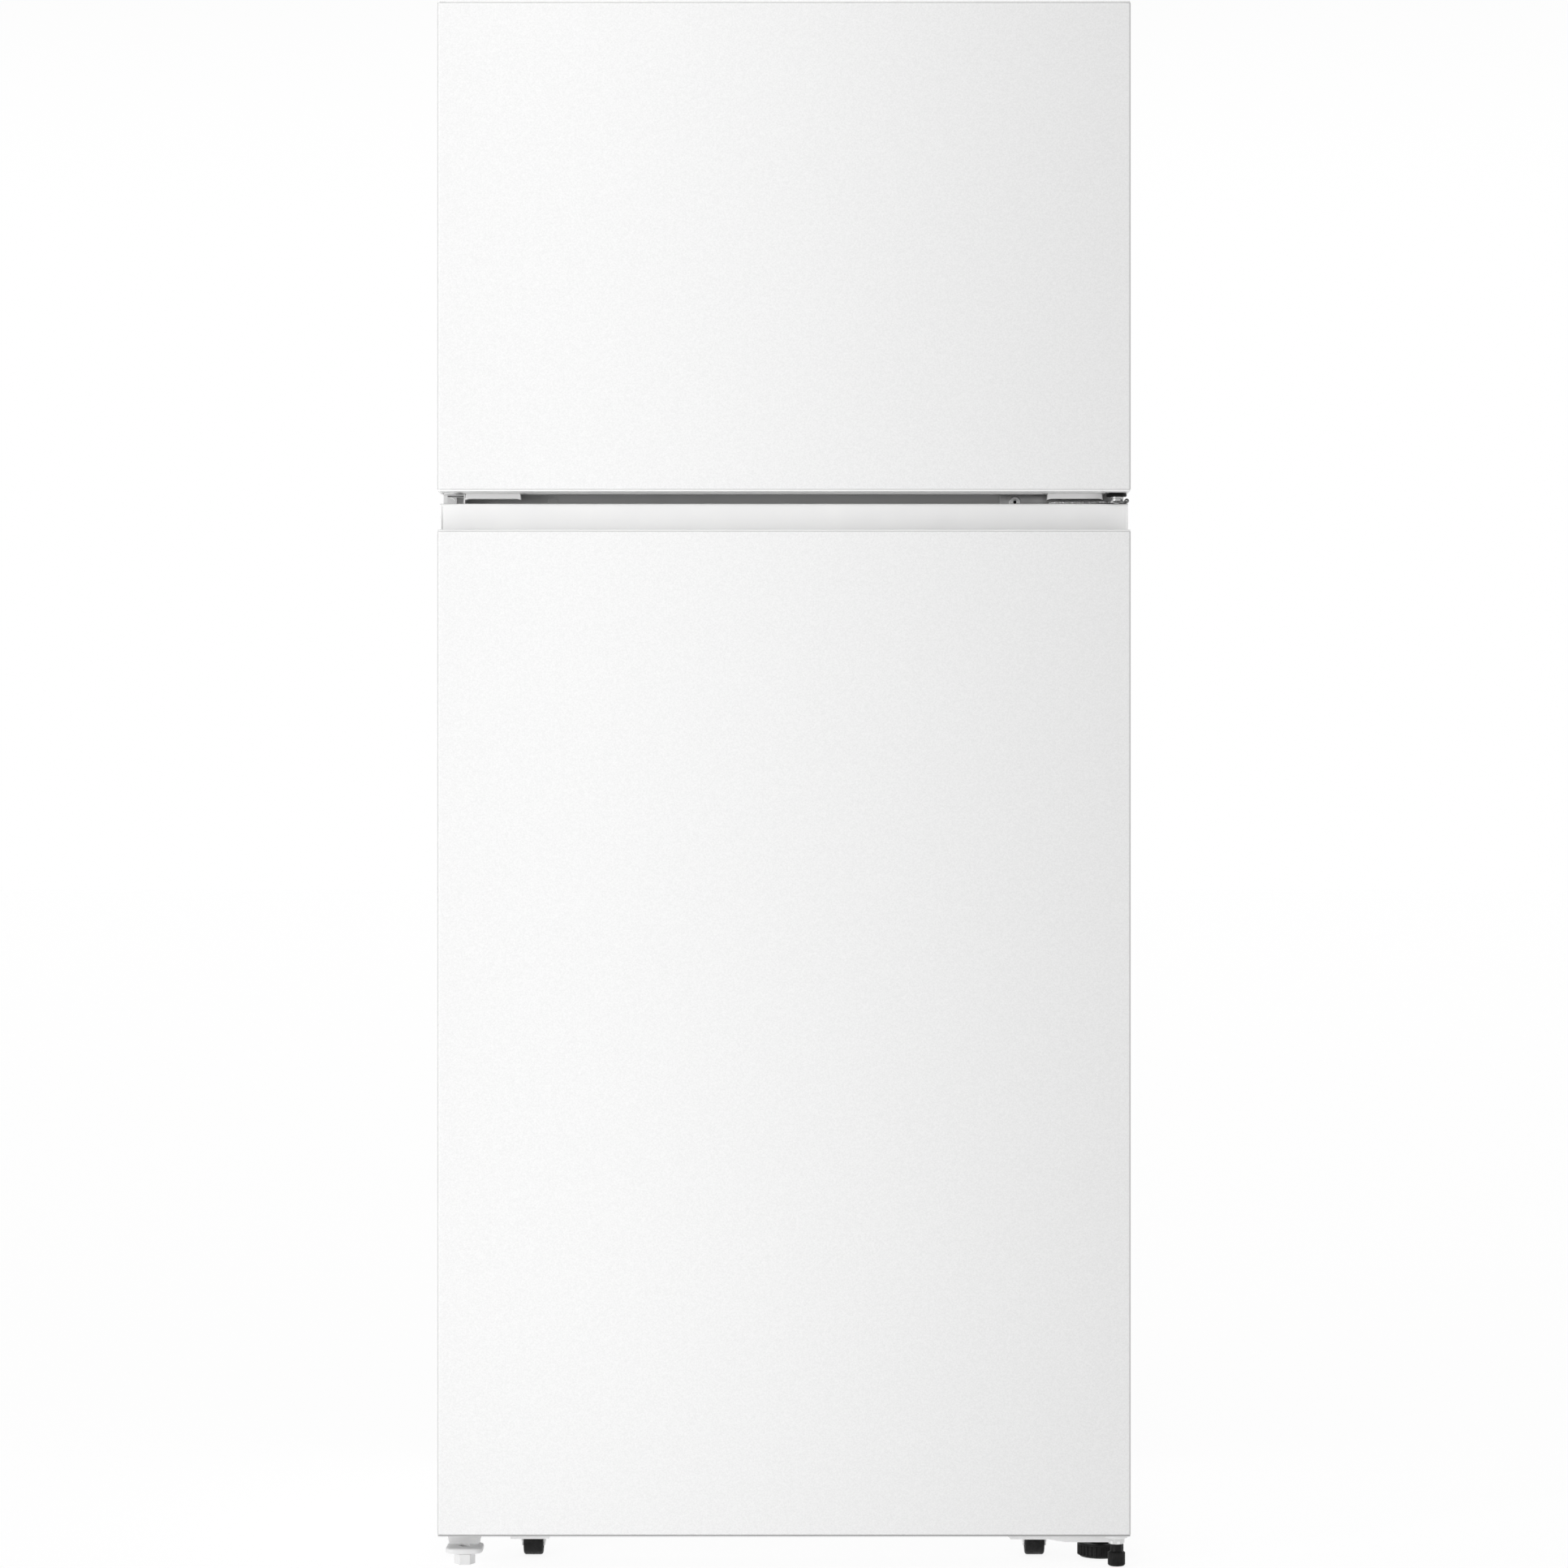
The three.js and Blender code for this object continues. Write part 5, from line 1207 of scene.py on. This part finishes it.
def add_compressor():
    """Two pressed shells welded at the middle, on a plate with rubber feet, pipes and a terminal cover."""
    x, y, z = -175, 262, box("compressor")[0].z
    shell = [(0.5, 12), (40, 12), (56, 14), (68, 21), (77, 34), (82, 52), (83.6, 70), (83.6, 78.6), (85, 79.2),
             (86.6, 80), (86.6, 83.4), (85, 84.2), (82.4, 84.6), (82.6, 94), (81, 112), (75, 128), (64, 141),
             (48, 150), (30, 154), (14, 155), (0.5, 155)]
    plate = prism(rounded_rect(around(x, 96), around(y, 62), 14), "z", (z + 9, z + 13))
    parts = [lathe(shell, (x, y, z), steps=96), rounded_edges(plate, 1, 2)]
    piece("compressor_shell", parts, "black_steel", (0.5, 2, 35), instead_of="compressor")
    steps = ((0, 6, 60), (0, 6, 98), (2, 5, 102), (6, 4, 104))
    steps = [(around(y, 30 - i), (z + 56 + i, z + 106 - i), r, x + reach) for i, r, reach in steps]
    piece("compressor_terminal_cover", nested(steps, "x"), "black_plastic", (0.8, 3, 30))
    foot = [(4, 0), (10.4, 0), (11, 0.8), (11, 7), (9.4, 8), (9.4, 9), (11, 10), (11, 15), (9.6, 17), (7, 20),
            (4, 20)]
    feet = [lathe(foot, (x + u, y + v, z), steps=32) for v in (-48, 48) for u in (-82, 82)]
    piece("compressor_feet", feet, "black_plastic", (0.4, 2, 40))
    suction = [(x - 30, y - 70, z + 110)] + [(x - 30, v, w) for v, w in arc(y - 78, z + 120, 10, 240, 180, 2)]
    suction.append((x - 30, y - 88, z + 185))
    discharge = [(x + u, y - v, z + 50) for u, v in ((40, 66), (43, 78), (50, 84), (62, 87), (120, 87))]
    stub = [(x - u, y - 20, z + w) for u, w in ((78, 100), (92, 100), (98, 106), (98, 140))]
    pipes = [tube(suction, 4, 14), tube(discharge, 3), tube(stub, 3)]
    piece("compressor_pipes", pipes, "copper", (0.1, 1, 70))


def add_drain_pan():
    low, high = box("drain_pan")
    x, y = (low.x, high.x), (low.y, high.y)
    outside = [(6, 0), (2.6, 0.8), (1.6, 3), (0.9, 26), (0.6, 28), (0, 28.4), (0, 32.4), (0.8, 34)]
    steps = [(shrunk(x, i), shrunk(y, i), 14 - i, low.z + z) for i, z in outside]
    inside = ((2.4, high.z), (3.2, high.z - 0.8), (4.6, low.z + 6), (9.2, low.z + 2.2))
    steps += [(shrunk(x, i), shrunk(y, i), 9, z) for i, z in inside]
    piece("drain_tray", nested(steps), "black_plastic", (0.4, 2, 45), instead_of="drain_pan")


def add_condenser_fan():
    """Shroud with a stepped plate, four struts to the motor, and the fan wheel."""
    x, y, z = centre = (-20, 266, 152)
    floor = box("condenser_fan_frame")[0].z
    bore = lathe([(74, -20), (74, 20)], centre, "x", 72)
    steps = ((86, 2, 88, 10, -12), (88, 0, 90, 12, -10), (88, 0, 90, 12, -8), (80, 6, 82, 10, -7),
             (80, 6, 82, 10, 9), (78, 8, 80, 9, 12))
    steps = [(around(y, half), (floor + lift, z + top), r, x + w) for half, lift, top, r, w in steps]
    parts = [carved(nested(steps, "x"), [bore])]
    for turn in (45, 135, 225, 315):
        strut = rounded_edges(block((9, 14), (14, 79), (-4, 4)), 1, 2)
        parts.append(moved(strut, centre, turn, "X"))
    can = [(0.5, 9), (20, 9), (22, 11), (22, 33), (20, 36.6), (14, 38), (0.5, 38)]
    parts.append(lathe(can, centre, "x", 56))
    piece("condenser_fan_shroud", parts, "black_plastic", (0.4, 2, 35), instead_of="condenser_fan_frame")
    wheel = fan_wheel((x - 2, y, z), "Y", 70)
    piece("condenser_fan_wheel", wheel, "black_plastic", (0.25, 2, 45), "condenser_fan", "condenser_fan_blade")


def add_condenser():
    """Serpentine of steel tube with wire fins between two end plates."""
    rows, levels = (215, 265, 315), range(70, 247, 22)
    tubes = [serpentine((78, 322), y, levels, 3.6) for y in rows]
    piece("condenser_tubes", tubes, "black_steel", (0.1, 1, 70), instead_of="condenser_coil")
    wire, hole = [(0.7, 60), (0.7, 256)], [(4.2, -4), (4.2, 4)]
    wires = [lathe(wire, (102 + 196 * i / 29, y - 5, 0), steps=6) for i in range(30) for y in rows]
    piece("condenser_wires", wires, "black_steel", (0.1, 1, 70))
    low = box("condenser_coil")[0].z
    plates = []
    for x in (95, 305):
        holes = [lathe(hole, (x, y, z), "x", 16) for y in rows for z in levels]
        plates.append(carved(block(around(x, 1), (203, 327), (low, 262)), holes))
    piece("condenser_end_plates", plates, "bare_steel", (0.3, 2, 40))


def add_gland():
    """Bushing in the rear cover, where a cord would leave."""
    profile = [(4.3, -6), (7.6, -6), (8.5, -5), (8.5, 0.4), (11.4, 0.4), (12, 0.9), (12, 2.6), (11, 3.6), (8, 4),
               (6.4, 3.6), (5.2, 2.4), (4.3, 2.4)]
    bushing = lathe(profile, (300, CASE_BACK, 235), "y")
    piece("cord_bushing", bushing, "black_plastic", (0.3, 2, 40), instead_of="cord_gland")


def add_interior():
    add_freezer_back_panel()
    add_evaporator()
    add_evaporator_fan()
    add_air_duct()
    add_control()
    add_knob()
    add_compressor()
    add_drain_pan()
    add_condenser_fan()
    add_condenser()
    add_gland()


add_doors()
add_storage()
add_cabinet()
add_interior()
add_hinges()
add_feet()
for node in [name for name, obj in NODES.items() if not obj.hide_render]:
    refined(node)

add_studio()
